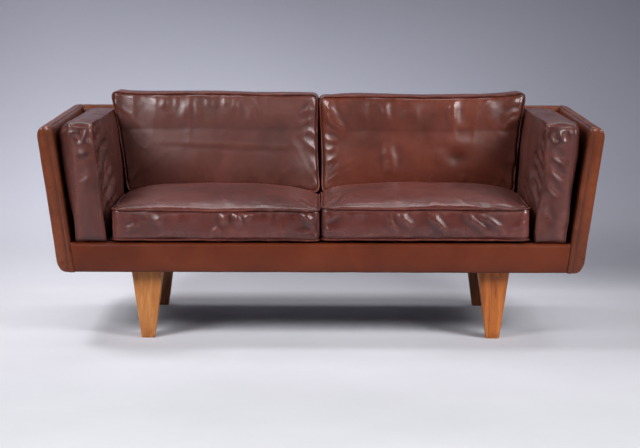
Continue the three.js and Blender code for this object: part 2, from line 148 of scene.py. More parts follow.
def seg(P, a, b, width, height, ends=0.25, side=0.0):
    """A soft ridge (or, with a negative height, a valley) along the segment a-b in the plane of P. side makes one
    flank of it steeper, as a fold that lies over has."""
    a, b = np.array(a, float), np.array(b, float)
    d = b - a
    L = np.hypot(*d)
    d /= L
    q = P - a
    t = (q @ d) / L
    n = q @ np.array([-d[1], d[0]])
    n = n - side * width * np.tanh(n / width)
    along = smooth(t, -0.02, ends + 0.15) * (1 - smooth(t, 0.85 - ends, 1.02))
    wander = 0.35 * width * noise(np.stack([t * L * 30, t * 0 + 40 * L], -1), 77)
    return 0.62 * height * along * gauss(n + wander, width * 1.15)


def blob(P, c, r, height):
    c, r = np.array(c, float), np.array(r, float)
    q = (P - c) / r
    return height * np.exp(-(q**2).sum(-1))


# ------------------------------------------------------------------ lattices: the skin of a box, cut into quads
def lattice(U, V, T):
    nu, nv, nt = len(U) - 1, len(V) - 1, len(T) - 1
    mask = np.zeros((nu + 1, nv + 1, nt + 1), bool)
    mask[[0, -1]] = mask[:, [0, -1]] = mask[:, :, [0, -1]] = True
    idx = np.full(mask.shape, -1)
    idx[mask] = np.arange(mask.sum())
    ijk = np.argwhere(mask)
    uvt = np.stack([U[ijk[:, 0]], V[ijk[:, 1]], T[ijk[:, 2]]], 1)
    panels = {
        "t+": idx[:, :, -1],
        "t-": idx[:, :, 0],
        "v+": idx[:, -1, :],
        "v-": idx[:, 0, :],
        "u+": idx[-1, :, :],
        "u-": idx[0, :, :],
    }
    flips = {"t+": 0, "t-": 1, "v+": 1, "v-": 0, "u+": 0, "u-": 1}
    faces = []
    for k, g in panels.items():
        q = np.stack([g[:-1, :-1], g[1:, :-1], g[1:, 1:], g[:-1, 1:]], -1).reshape(-1, 4)
        faces.append(q[:, ::-1] if flips[k] else q)
    return uvt, np.concatenate(faces), panels


def steps(length, pitch, fine=(0.0025, 0.006, 0.0105)):
    """-1 to 1 across a length in metres, in steps of about pitch, with finer steps at both ends."""
    fine = [f for f in fine if f < length / 2.6]
    last = fine[-1] if fine else 0
    inner = length - 2 * last
    n = max(2, round(inner / pitch))
    x = [0, *fine][:-1] if fine else []
    mid = list(np.linspace(last, length - last, n + 1))
    x = np.array(list(x) + mid + [length - a for a in reversed(x)])
    return x / length * 2 - 1


def corner(a, b, ac, bc, sa, sb, r):
    """Rounds one corner of a square-edged section in place. (ac, bc) is the arc's centre."""
    da, db = sa * (a - ac), sb * (b - bc)
    inside = (da > 0) & (db > 0)
    m = np.maximum(da, db)
    length = np.hypot(da, db)
    k = np.where(inside, m / np.maximum(length, 1e-9), 1)
    return np.where(inside, ac + sa * da * k, a), np.where(inside, bc + sb * db * k, b)


def normals(P, faces):
    a, b, c, d = (P[faces[:, k]] for k in range(4))
    n = np.cross(c - a, d - b)
    out = np.zeros_like(P)
    for k in range(4):
        np.add.at(out, faces[:, k], n)
    return out / np.maximum(np.linalg.norm(out, axis=1, keepdims=True), 1e-12)


def laplace(P, faces):
    total = np.zeros_like(P)
    count = np.zeros(len(P))
    for k in range(4):
        i, j = faces[:, k], faces[:, (k + 1) % 4]
        np.add.at(total, i, P[j])
        np.add.at(total, j, P[i])
        np.add.at(count, i, 1)
        np.add.at(count, j, 1)
    return total / count[:, None] - P


def relief(P, faces, reach=2):
    """How far each point stands out of, or sinks into, the surface around it, in metres."""
    N = normals(P, faces)
    Q = P.copy()
    for _ in range(reach * 3):
        Q = Q + 0.6 * laplace(Q, faces)
    return ((P - Q) * N).sum(1)


def tube(points, radius, sides=8, closed=True, flat=1.0):
    """A round or flattened bead along points: radius may be one number or one for each point."""
    P = np.asarray(points, float)
    n = len(P)
    r = np.broadcast_to(radius, (n,)).astype(float)
    T = np.roll(P, -1, 0) - np.roll(P, 1, 0)
    if not closed:
        T[0], T[-1] = P[1] - P[0], P[-1] - P[-2]
    T /= np.linalg.norm(T, axis=1, keepdims=True)
    ref = np.zeros(3)
    ref[np.argmin(np.abs(T).mean(0))] = 1
    A = np.cross(T, ref)
    A /= np.linalg.norm(A, axis=1, keepdims=True)
    for k in range(1, n):  # carry the frame along so that the bead doesn't twist
        a = A[k - 1] - T[k] * (A[k - 1] @ T[k])
        A[k] = a / np.linalg.norm(a)
    B = np.cross(T, A)
    w = np.linspace(0, 2 * math.pi, sides, endpoint=False)
    V = (
        P[:, None]
        + r[:, None, None] * (A[:, None] * np.cos(w)[None, :, None] + flat * B[:, None] * np.sin(w)[None, :, None])
    ).reshape(-1, 3)
    m = n if closed else n - 1
    i = np.arange(m)[:, None]
    j = np.arange(sides)[None, :]
    # a closed bead's last ring may have turned against its first: join each point to its nearest
    shift = 0
    if closed:
        last = V.reshape(n, sides, 3)[-1]
        first = V.reshape(n, sides, 3)[0]
        cost = [np.linalg.norm(last - np.roll(first, -s, 0), axis=1).sum() for s in range(sides)]
        shift = int(np.argmin(cost))
    off = np.where(i == n - 1, shift, 0)
    a = i * sides + j
    b = i * sides + (j + 1) % sides
    c = ((i + 1) % n) * sides + (j + 1 + off) % sides
    d = ((i + 1) % n) * sides + (j + off) % sides
    F = np.stack([a, b, c, d], -1).reshape(-1, 4)
    if not closed:
        for ring, order in ((0, -1), (n - 1, 1)):
            base = ring * sides
            idx = [base + k for k in range(sides)][::order]
            for k in range(1, sides - 2, 2):
                F = np.vstack([F, [[idx[0], idx[k], idx[k + 1], idx[(k + 2) % sides]]]])
    return V, F


def smoothed(P, times=2, closed=True):
    P = P.copy()
    for _ in range(times):
        Q = 0.5 * P + 0.25 * (np.roll(P, 1, 0) + np.roll(P, -1, 0))
        if not closed:
            Q[0], Q[-1] = P[0], P[-1]
        P = Q
    return P


def make(name, parts, body="root", materials=(), floats=None):
    """parts: [(points, quads, material index)]. One mesh object riding on a body."""
    verts = np.concatenate([p for p, _, _ in parts])
    base, quads, slots = 0, [], []
    for p, f, m in parts:
        quads.append(np.asarray(f) + base)
        slots.append(np.full(len(f), m))
        base += len(p)
    quads = np.concatenate(quads)
    slots = np.concatenate(slots)
    mesh = bpy.data.meshes.new(name)
    mesh.vertices.add(len(verts))
    mesh.vertices.foreach_set("co", verts.astype(np.float32).ravel())
    mesh.loops.add(quads.size)
    mesh.loops.foreach_set("vertex_index", quads.astype(np.int32).ravel())
    mesh.polygons.add(len(quads))
    mesh.polygons.foreach_set("loop_start", np.arange(0, quads.size, 4, dtype=np.int32))
    mesh.update(calc_edges=True)
    mesh.polygons.foreach_set("use_smooth", np.ones(len(quads), bool))
    for m in materials:
        mesh.materials.append(m)
    mesh.polygons.foreach_set("material_index", slots.astype(np.int32))
    for key, values in (floats or {}).items():
        at = mesh.attributes.new(key, "FLOAT", "POINT")
        full = np.zeros(len(verts), np.float32)
        full[: len(values)] = values
        at.data.foreach_set("value", full)
    mesh.validate()
    mesh.update()
    ob = bpy.data.objects.new(name, mesh)
    bpy.context.scene.collection.objects.link(ob)
    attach(ob, body)
    return ob


# ------------------------------------------------------------------ materials
class Nodes:
    def __init__(self, name):
        self.mat = bpy.data.materials.new(name)
        self.mat.use_nodes = True
        self.t = self.mat.node_tree
        self.t.nodes.clear()
        self.out = self.t.nodes.new("ShaderNodeOutputMaterial")
        self.bsdf = self.t.nodes.new("ShaderNodeBsdfPrincipled")
        self.t.links.new(self.bsdf.outputs[0], self.out.inputs[0])
        self.tc = self.t.nodes.new("ShaderNodeTexCoord")

    def link(self, a, b):
        self.t.links.new(a, b)

    def put(self, socket, value):
        if isinstance(value, bpy.types.NodeSocket):
            self.link(value, socket)
        else:
            socket.default_value = value

    def coords(self, scale=(1, 1, 1), loc=(0, 0, 0), rot=(0, 0, 0)):
        m = self.t.nodes.new("ShaderNodeMapping")
        m.inputs["Scale"].default_value = scale
        m.inputs["Location"].default_value = loc
        m.inputs["Rotation"].default_value = rot
        self.link(self.tc.outputs["Object"], m.inputs["Vector"])
        return m.outputs[0]

    def noise(self, scale, detail=3.0, rough=0.55, vector=None, distort=0.0):
        n = self.t.nodes.new("ShaderNodeTexNoise")
        n.inputs["Scale"].default_value = scale
        n.inputs["Detail"].default_value = detail
        n.inputs["Roughness"].default_value = rough
        n.inputs["Distortion"].default_value = distort
        self.link(vector or self.tc.outputs["Object"], n.inputs["Vector"])
        return n.outputs["Fac"]

    def cells(self, scale, vector=None, feature="SMOOTH_F1", rnd=1.0):
        n = self.t.nodes.new("ShaderNodeTexVoronoi")
        n.feature = feature
        n.inputs["Scale"].default_value = scale
        n.inputs["Randomness"].default_value = rnd
        if feature == "SMOOTH_F1":
            n.inputs["Smoothness"].default_value = 0.3
        self.link(vector or self.tc.outputs["Object"], n.inputs["Vector"])
        return n.outputs["Distance"]

    def attr(self, name):
        n = self.t.nodes.new("ShaderNodeAttribute")
        n.attribute_name = name
        return n.outputs["Fac"]

    def ramp(self, fac, stops, smooth_ramp=True):
        n = self.t.nodes.new("ShaderNodeValToRGB")
        n.color_ramp.interpolation = "EASE" if smooth_ramp else "LINEAR"
        e = n.color_ramp.elements
        while len(e) < len(stops):
            e.new(0.5)
        for k, (p, c) in enumerate(stops):
            e[k].position = p
            e[k].color = (*c, 1) if len(c) == 3 else c
        self.link(fac, n.inputs[0])
        return n.outputs[0]

    def range(self, value, a, b, c=0.0, d=1.0):
        n = self.t.nodes.new("ShaderNodeMapRange")
        n.clamp = True
        self.link(value, n.inputs[0])
        for k, x in zip((1, 2, 3, 4), (a, b, c, d)):
            n.inputs[k].default_value = x
        return n.outputs[0]

    def math(self, op, a, b=0.0, c=0.0):
        n = self.t.nodes.new("ShaderNodeMath")
        n.operation = op
        for k, x in enumerate((a, b, c)):
            self.put(n.inputs[k], x)
        return n.outputs[0]

    def blend(self, fac, a, b, mode="MIX"):
        n = self.t.nodes.new("ShaderNodeMix")
        n.data_type = "RGBA"
        n.blend_type = mode
        n.clamp_factor = True
        self.put(n.inputs[0], fac)
        for k, x in ((6, a), (7, b)):
            self.put(n.inputs[k], (*x, 1) if isinstance(x, tuple) and len(x) == 3 else x)
        return n.outputs[2]

    def bump(self, height, strength, distance, normal=None):
        n = self.t.nodes.new("ShaderNodeBump")
        n.inputs["Strength"].default_value = strength
        n.inputs["Distance"].default_value = distance
        self.link(height, n.inputs["Height"])
        if normal is not None:
            self.link(normal, n.inputs["Normal"])
        return n.outputs[0]

    def finish(self, color=None, rough=None, normal=None, **plain):
        if color is not None:
            self.put(self.bsdf.inputs["Base Color"], (*color, 1) if isinstance(color, tuple) else color)
        if rough is not None:
            self.put(self.bsdf.inputs["Roughness"], rough)
        if normal is not None:
            self.link(normal, self.bsdf.inputs["Normal"])
        for k, v in plain.items():
            self.bsdf.inputs[k.replace("_", " ")].default_value = v
        return self.mat


def srgb(r, g, b):
    f = lambda c: c / 12.92 if c <= 0.04045 else ((c + 0.055) / 1.055) ** 2.4
    return tuple(f(x / 255) for x in (r, g, b))


def leather(name, dark, mid, light, worn, rough=(0.34, 0.5), seed=0.0, wear=0.5, grain=1.0, specular=0.5, coat=0.0, low=None):
    m = Nodes(name)
    at = m.coords(loc=(seed, seed * 1.7, -seed))
    blotch = m.noise(4.2, 4, 0.6, at, 0.4)
    mottle = m.noise(19, 5, 0.62, at, 0.2)
    speck = m.noise(150, 3, 0.6, at)
    color = m.ramp(blotch, [(0.36, dark), (0.52, mid), (0.68, light)])
    color = m.blend(m.range(mottle, 0.54, 0.80, 0, 0.30), color, light)
    color = m.blend(m.range(mottle, 0.44, 0.24, 0, 0.28), color, dark)
    color = m.blend(m.range(speck, 0.60, 0.82, 0, 0.12), color, light)
    # worn pale on what stands out; painted shade, darkening towards a quarter of the dark tone, in what sinks in
    out = m.attr("crest")
    rub = m.math("MULTIPLY", out, m.range(m.noise(60, 4, 0.65, at), 0.40, 0.66))
    color = m.blend(m.math("MULTIPLY", rub, wear), color, worn)
    # painted shade: the cavity mask darkens hollows, creases and, on the cushions, the leather beside the welts
    color = m.blend(m.math("MULTIPLY", m.attr("cavity"), 0.6), color, tuple(c * 0.25 for c in dark))
    if low is not None:  # darker towards the bottom edge, in a mottled band
        z = m.t.nodes.new("ShaderNodeSeparateXYZ")
        m.link(m.tc.outputs["Object"], z.inputs[0])
        f = m.math("MULTIPLY", m.range(z.outputs[2], low[1], low[0]), m.range(m.noise(9, 4, 0.6, at), 0.35, 0.62, 0.25, 1))
        color = m.blend(m.math("MULTIPLY", f, 0.6), color, tuple(c * 0.45 for c in dark))
    r = m.range(m.noise(23, 4, 0.6, at, 0.3), 0.32, 0.68, rough[0], rough[1])
    r = m.math("SUBTRACT", r, m.math("MULTIPLY", out, 0.07))
    r = m.math("ADD", r, m.math("MULTIPLY", speck, 0.04))
    pores = m.cells(620, at)
    n = m.bump(m.noise(34, 3, 0.5, at, 0.5), 0.16 * grain, 0.004)
    n = m.bump(m.noise(120, 4, 0.6, at, 0.8), 0.22 * grain, 0.0012, n)
    n = m.bump(pores, 0.35 * grain, 0.0005, n)
    return m.finish(color, r, n, Specular_IOR_Level=specular, Coat_Weight=coat, Coat_Roughness=0.42)


def wood(name, dark, mid, light, seed, streak=0.0):
    m = Nodes(name)
    at = m.coords((1, 1, 0.055), (seed, seed * 2.1, seed * 0.3), (0.0, 0.012, 0.0))
    wide = m.noise(42, 4, 0.55, at, 0.9)
    fine = m.noise(260, 3, 0.6, at, 0.2)
    hair = m.noise(900, 2, 0.7, at)
    color = m.ramp(wide, [(0.33, dark), (0.5, mid), (0.68, light)])
    color = m.blend(m.range(fine, 0.55, 0.75, 0, 0.55), color, dark)
    color = m.blend(m.range(hair, 0.60, 0.80, 0, 0.35), color, tuple(c * 0.5 for c in dark))
    # pin knots
    knots = m.cells(16, m.coords((1, 1, 0.6), (seed * 3, seed, seed * 5)), "F1")
    color = m.blend(m.range(knots, 0.11, 0.04, 0, 0.8), color, tuple(c * 0.35 for c in dark))
    if streak:
        s = m.noise(13, 2, 0.4, m.coords((1, 1, 0.12), (seed * 0.7, 0.3, 0.9)), 1.2)
        color = m.blend(m.range(s, 0.56, 0.66, 0, streak), color, tuple(c * 0.55 for c in dark))
    z = m.t.nodes.new("ShaderNodeSeparateXYZ")
    m.link(m.tc.outputs["Object"], z.inputs[0])
    # darker towards the foot of the leg, in mottled patches
    foot_darkening = m.math("MULTIPLY", m.range(z.outputs[2], 0.035, 0.0), m.range(m.noise(60, 3, 0.6), 0.4, 0.6))
    color = m.blend(m.math("MULTIPLY", foot_darkening, 0.55), color, tuple(c * 0.4 for c in dark))
    color = m.blend(m.math("MULTIPLY", m.attr("crest"), 0.35), color, light)
    n = m.bump(fine, 0.25, 0.0006)
    n = m.bump(hair, 0.2, 0.0003, n)
    r = m.range(wide, 0.3, 0.7, 0.42, 0.55)
    return m.finish(color, r, n, Specular_IOR_Level=0.4)


def cloth(name, a, b, thread=900.0, rough=0.9, weave=True):
    m = Nodes(name)
    mott = m.noise(30, 4, 0.6)
    color = m.blend(m.range(mott, 0.35, 0.65), a, b)
    if weave:
        w = m.t.nodes.new("ShaderNodeTexWave")
        w.inputs["Scale"].default_value = thread / 6.28
        w2 = m.t.nodes.new("ShaderNodeTexWave")
        w2.bands_direction = "Y"
        w2.inputs["Scale"].default_value = thread / 6.28
        m.link(m.tc.outputs["Object"], w.inputs[0])
        m.link(m.tc.outputs["Object"], w2.inputs[0])
        h = m.math("ADD", w.outputs["Fac"], w2.outputs["Fac"])
    else:
        h = m.noise(400, 4, 0.8)
    color = m.blend(m.range(h, 0.2, 1.4, 0, 0.35), color, tuple(c * 0.6 for c in a))
    return m.finish(color, rough, m.bump(h, 0.4, 0.0006))


def metal(name, a, b):
    m = Nodes(name)
    color = m.blend(m.range(m.noise(90, 4, 0.6), 0.35, 0.65), a, b)
    r = m.range(m.noise(300, 3, 0.6), 0.3, 0.7, 0.28, 0.45)
    return m.finish(color, r, m.bump(m.noise(700, 2, 0.5), 0.1, 0.0003), Metallic=1.0)


M = {
    "shell": leather(
        "shell_leather", srgb(94, 42, 19), srgb(104, 47, 22), srgb(113, 53, 26), srgb(160, 100, 68),
        rough=(0.31, 0.40), seed=3.1, wear=0.12, grain=0.45, low=(0.205, 0.26), specular=0.42,
    ),
    "cushion_l": leather(
        "cushion_leather_left", srgb(75, 37, 30), srgb(88, 45, 37), srgb(99, 53, 45), srgb(150, 108, 98),
        rough=(0.35, 0.44), seed=1.3, wear=0.12, grain=0.6, coat=0.3,
    ),
    "cushion_r": leather(
        "cushion_leather_right", srgb(80, 36, 25), srgb(96, 44, 31), srgb(108, 52, 37), srgb(156, 108, 94),
        rough=(0.30, 0.40), seed=5.7, wear=0.12, grain=0.55, coat=0.12,
    ),
    "seat": leather(
        "seat_leather", srgb(75, 32, 27), srgb(90, 39, 32), srgb(103, 47, 40), srgb(168, 116, 106),
        rough=(0.27, 0.39), seed=9.2, wear=0.16, grain=0.6, coat=0.18,
    ),
    "armpad": leather(
        "arm_cushion_leather", srgb(78, 39, 34), srgb(92, 48, 42), srgb(104, 58, 51), srgb(168, 126, 112),
        rough=(0.28, 0.40), seed=12.4, wear=0.16, grain=0.6, coat=0.10,
    ),
    "welt": leather(
        "welt_leather", srgb(70, 30, 24), srgb(92, 41, 33), srgb(112, 54, 43), srgb(160, 100, 78),
        rough=(0.44, 0.54), seed=7.7, wear=0.5, grain=0.4, specular=0.3,
    ),
    "seam": leather(
        "seam_leather", srgb(72, 32, 20), srgb(94, 44, 28), srgb(112, 58, 38), srgb(186, 128, 96),
        rough=(0.28, 0.40), seed=4.4, wear=0.6, grain=0.3,
    ),
    "felt": cloth("padding_coir", srgb(84, 64, 44), srgb(66, 48, 33), weave=False),
    # painted shade: the deck canvas is near black so the gap under the cushions reads dark
    "deck": cloth("deck_canvas_shade_dark", srgb(46, 36, 30), srgb(36, 28, 24), 2200),
    "dust": cloth("dust_cloth_black", srgb(26, 25, 24), srgb(38, 36, 34), 2600),
    "rubber": cloth("webbing_rubber", srgb(58, 47, 40), srgb(76, 62, 50), 1800, 0.75),
    "board": cloth("infill_fibreboard", srgb(138, 106, 72), srgb(118, 90, 62), weave=False),
    "beech": wood("frame_beech", srgb(150, 112, 74), srgb(186, 146, 102), srgb(204, 168, 122), 2.2),
    "steel": metal("zinc_steel", srgb(168, 170, 172), srgb(140, 142, 146)),
}

SLOTS = {
    "shell_leather": "shell",
    "cushion_leather": "seat",
    "leg_wood": "beech",
    "frame_timber": "beech",
    "padding": "felt",
    "infill_board": "board",
    "webbing": "rubber",
    "deck_cloth": "deck",
    "dust_cloth": "dust",
    "steel": "steel",
}
for part in frame["record"]["subparts"]:
    ob = frame["nodes"][part["node"]]
    if not ob.material_slots:
        ob.data.materials.append(None)
    for s in ob.material_slots:
        s.material = M[SLOTS[part["material_slot"]]]


# ------------------------------------------------------------------ the leather-covered panels
def panel_block(xs, ys, zs, radii, pitch=0.008):
    """A block with rounded edges, before it leans. radii: {(axis pair, sign, sign): radius}."""
    (x0, x1), (y0, y1), (z0, z1) = xs, ys, zs

    def axis(a, b, lo, hi):
        fine = lambda r: [r * (1 - math.cos(w)) for w in np.linspace(0, math.pi / 2, 6)[1:]] if r > 0.003 else [r * 0.5, r]
        left = [a + f for f in fine(lo)]
        right = [b - f for f in reversed(fine(hi))]
        n = max(2, int(round((right[0] - left[-1]) / pitch)))
        return np.array([a] + left[:-1] + list(np.linspace(left[-1], right[0], n + 1)) + right[1:] + [b])

    big = lambda key, sign, pos: max([r for k, r in radii.items() if key in k[0] and k[1 + k[0].index(key)] == sign] + [0.002])
    X = axis(x0, x1, big("x", -1, 0), big("x", 1, 0))
    Y = axis(y0, y1, big("y", -1, 0), big("y", 1, 0))
    Z = axis(z0, z1, big("z", -1, 0), big("z", 1, 0))
    P, F, panels = lattice(X, Y, Z)
    low, high = {"x": x0, "y": y0, "z": z0}, {"x": x1, "y": y1, "z": z1}
    col = {"x": 0, "y": 1, "z": 2}
    for (pair, s1, s2), r in radii.items():
        a, b = pair
        ac = high[a] - r if s1 > 0 else low[a] + r
        bc = high[b] - r if s2 > 0 else low[b] + r
        P[:, col[a]], P[:, col[b]] = corner(P[:, col[a]].copy(), P[:, col[b]].copy(), ac, bc, s1, s2, r)
    return P, F, panels


def crest_cavity(P, F, out=0.0006, sink=0.0010, reach=3):
    h = relief(P, F, reach)
    return {"crest": np.clip(h / out, 0, 1), "cavity": np.clip(-h / sink, 0, 1)}


def arm(side):
    tag = "right" if side > 0 else "left"
    # square-edged block in coordinates where the arm stands upright: x is from the inner face outwards
    r_out = 0.030
    P, F, _ = panel_block(
        (0.0, ARM_T),
        (FRONT_Y, 0.5),
        (LEG_H, ARM_TOP),
        {
            ("xz", 1, 1): 0.034,
            ("xz", -1, 1): 0.010,
            ("xz", 1, -1): 0.030,
            ("xy", 1, -1): 0.020,
            ("xy", -1, -1): 0.006,
            ("yz", -1, 1): 0.014,
            ("xy", 1, 1): 0.010,
            ("yz", 1, 1): 0.014,
        },
        0.0085,
    )
    N = normals(P, F)
    x, y, z = P.T
    # the rear end leans with the back
    depth = (back_out(z) - FRONT_Y) / (0.5 - FRONT_Y)
    y2 = FRONT_Y + (y - FRONT_Y) * depth
    # soft leather: slight hollows and swellings, and a hand-pulled edge
    seed = 21 if side > 0 else 11
    Q = np.stack([x * 2, y, z], 1)
    d = 0.0011 * fbm(Q * 9, seed) + 0.0004 * fbm(Q * 34, seed + 5)
    front = smooth(-y, -(FRONT_Y + 0.02), -FRONT_Y)
    # the inner edge band between the two seams stands a little proud on the front and along the top
    run = np.where(y < FRONT_Y + 0.015, 1.0, smooth(z, ARM_TOP - 0.02, ARM_TOP - 0.006))
    d += run * (0.0010 * gauss(x - 0.0115, 0.0045) - 0.0010 * gauss(x - 0.0185, 0.0022))
    # slack leather round the lower outer corner and at the foot of the front seam
    d += 0.0007 * ridge(noise(np.stack([z * 40, y * 14], 1), seed + 3)) * gauss(z - LEG_H - 0.03, 0.03)
    P = np.stack([x, y2, z], 1) + N * d[:, None]
    P[:, 2] = np.maximum(P[:, 2], LEG_H - 0.0006)
    X = side * (arm_in(P[:, 2]) + P[:, 0])
    body = np.stack([X, P[:, 1], P[:, 2]], 1)
    if side < 0:
        F = F[:, ::-1]
    # two rows of raised seam, down the front by the inner edge and back along the top
    parts = [(body, F, 0)]
    for off, rad in ((0.0060, 0.0021), (0.0150, 0.0015)):
        zs = np.linspace(LEG_H + 0.004, ARM_TOP - 0.016, 90)
        wob = 0.0005 * noise(np.stack([zs * 24, zs * 0 + off * 900], 1), seed)
        down = np.stack([np.full_like(zs, off) + wob, np.full_like(zs, FRONT_Y - 0.0001) + (0.0011 if off < 0.008 else 0), zs], 1)
        w = np.linspace(0, math.pi / 2, 9)[1:]
        bend = np.stack(
            [np.full_like(w, off), FRONT_Y + 0.014 - 0.014 * np.cos(w), ARM_TOP - 0.014 + 0.014 * np.sin(w)], 1
        )
        ys = np.linspace(FRONT_Y + 0.02, back_in(ARM_TOP) + (0.004 if off < 0.01 else 0.010), 110)
        wob = 0.0006 * noise(np.stack([ys * 20, ys * 0 + off * 700 + 4], 1), seed + 1)
        drop = 0.010 - math.sqrt(max(0.010**2 - max(0.010 - off, 0) ** 2, 0))
        back = np.stack([np.full_like(ys, off) + wob, ys, np.full_like(ys, ARM_TOP - drop)], 1)
        bend[:, 2] -= drop * np.sin(w)
        path = smoothed(np.concatenate([down, bend, back]), 3, closed=False)
        path[:, 0] = side * (arm_in(path[:, 2]) + path[:, 0])
        r = rad * (1 + 0.18 * noise(np.stack([np.arange(len(path)) * 0.31, np.zeros(len(path))], 1), seed + 8))
        V, Q4 = tube(path, r, 8, closed=False)
        parts.append((V, Q4, 1))
    ob = make(f"{tag}_arm_upholstery", parts, materials=(M["shell"], M["seam"]), floats=crest_cavity(body, F))
    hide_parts(f"{tag}_arm_leather_cover")
    return ob


def back():
    half = 0.9
    P, F, _ = panel_block(
        (-half, half),
        (0.0, BACK_T),
        (LEG_H, ARM_TOP),
        {("yz", 1, 1): 0.018, ("yz", -1, 1): 0.010, ("yz", 1, -1): 0.014, ("yz", -1, -1): 0.003},
        0.010,
    )
    N = normals(P, F)
    x, y, z = P.T
    Q = np.stack([x, y * 2, z], 1)
    d = 0.0012 * fbm(Q * 7, 31) + 0.0004 * fbm(Q * 30, 33)
    top = smooth(z, ARM_TOP - 0.02, ARM_TOP - 0.004)
    d += top * (0.0008 * gauss(y - 0.012, 0.004) - 0.0010 * gauss(y - 0.018, 0.002))
    P = P + N * d[:, None]
    # its ends butt against the arms: pull each row of points in to the arm's inner face
    lim = arm_in(P[:, 2]) - 0.0004
    P[:, 0] = P[:, 0] / half * lim
    P[:, 1] = back_in(P[:, 2]) + P[:, 1]
    P[:, 2] = np.maximum(P[:, 2], LEG_H - 0.0006)
    parts = [(P, F, 0)]
    for off, rad, drop in ((0.0065, 0.0016, 0.0006), (0.0150, 0.0012, 0.0)):
        xs = np.linspace(-arm_in(ARM_TOP) + 0.001, arm_in(ARM_TOP) - 0.001, 240)
        wob = 0.0006 * noise(np.stack([xs * 18, xs * 0 + off * 500], 1), 41)
        path = np.stack([xs, back_in(ARM_TOP) + off + wob, np.full_like(xs, ARM_TOP - drop)], 1)
        V, Q4 = tube(path, rad, 8, closed=False)
        parts.append((V, Q4, 1))
    # the upright seam that closes the cover behind, one at each end
    for s in (-1, 1):
        zs = np.linspace(LEG_H + 0.006, ARM_TOP - 0.018, 70)
        path = np.stack([s * (arm_in(zs) - 0.030), back_out(zs) + 0.0002, zs], 1)
        V, Q4 = tube(path, 0.0014, 8, closed=False)
        parts.append((V, Q4, 1))
    ob = make("back_upholstery", parts, materials=(M["shell"], M["seam"]), floats=crest_cavity(P, F))
    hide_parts("back_leather_cover")
    return ob


def rail():
    half = 0.9
    P, F, _ = panel_block(
        (-half, half),
        (FRONT_Y, FRONT_Y + 0.060),
        (LEG_H, RAIL_TOP),
        {("yz", -1, 1): 0.010, ("yz", -1, -1): 0.008, ("yz", 1, 1): 0.002},
        0.007,
    )
    N = normals(P, F)
    x, y, z = P.T
    lim = arm_in(z) - 0.0004
    t = x / half
    edge = (1 - np.abs(t)) * 0.75  # metres from the arm
    h = (z - LEG_H) / (RAIL_TOP - LEG_H)
    front = smooth(-y, -(FRONT_Y + 0.012), -FRONT_Y)
    Q = np.stack([x, y, z], 1)
    d = front * 0.0022 * np.sin(np.pi * np.clip(h, 0, 1)) + 0.0009 * fbm(Q * 8, 51) + 0.0003 * fbm(Q * 36, 53)
    # drawn in where it is sewn to the arms, with short puckers, and pinched up into a small lip at each top corner
    d -= front * 0.0022 * np.exp(-edge / 0.007)
    pk = ridge(noise(np.stack([z * 95, edge * 20 + np.sign(t) * 3], 1), 57), 1.5)
    d += front * 0.0011 * pk * np.exp(-edge / 0.016)
    d += 0.0010 * ridge(noise(np.stack([x * 22, z * 0 + 1.5], 1), 59), 2) * gauss(h - 1, 0.25) * front
    P = np.stack([x / half * lim, y, z], 1) + N * d[:, None]
    # its top never dips below the padding under it
    topness = smooth(z, LEG_H + 0.045, RAIL_TOP)
    P[:, 2] = np.where(z > RAIL_TOP - 1e-4, np.maximum(P[:, 2], RAIL_TOP), P[:, 2])
    lip = topness * np.exp(-((edge / 0.010) ** 2)) * smooth(-y, -(FRONT_Y + 0.03), -(FRONT_Y + 0.002))
    P[:, 2] += 0.0040 * lip
    P[:, 1] -= 0.0012 * lip
    P[:, 2] = np.maximum(P[:, 2], LEG_H - 0.0006)
    # turned in underneath, where the cloth of the underside covers it
    tucked = (z < LEG_H + 1e-4) & (y > FRONT_Y + 0.009)
    P[:, 2] = np.where(tucked, LEG_H + 0.0022 * smooth(y, FRONT_Y + 0.009, FRONT_Y + 0.013), P[:, 2])
    ob = make("front_rail_upholstery", [(P, F, 0)], materials=(M["rail"],), floats=crest_cavity(P, F, 0.0005, 0.0009))
    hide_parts("front_rail_leather_cover")
    return ob


M["rail"] = leather(
    "rail_leather", srgb(88, 35, 17), srgb(99, 41, 20), srgb(109, 48, 24), srgb(150, 90, 60),
    rough=(0.38, 0.48), seed=15.0, wear=0.04, grain=0.45, specular=0.27, low=(0.205, 0.245),
)
arm(-1)
arm(1)
back()
rail()


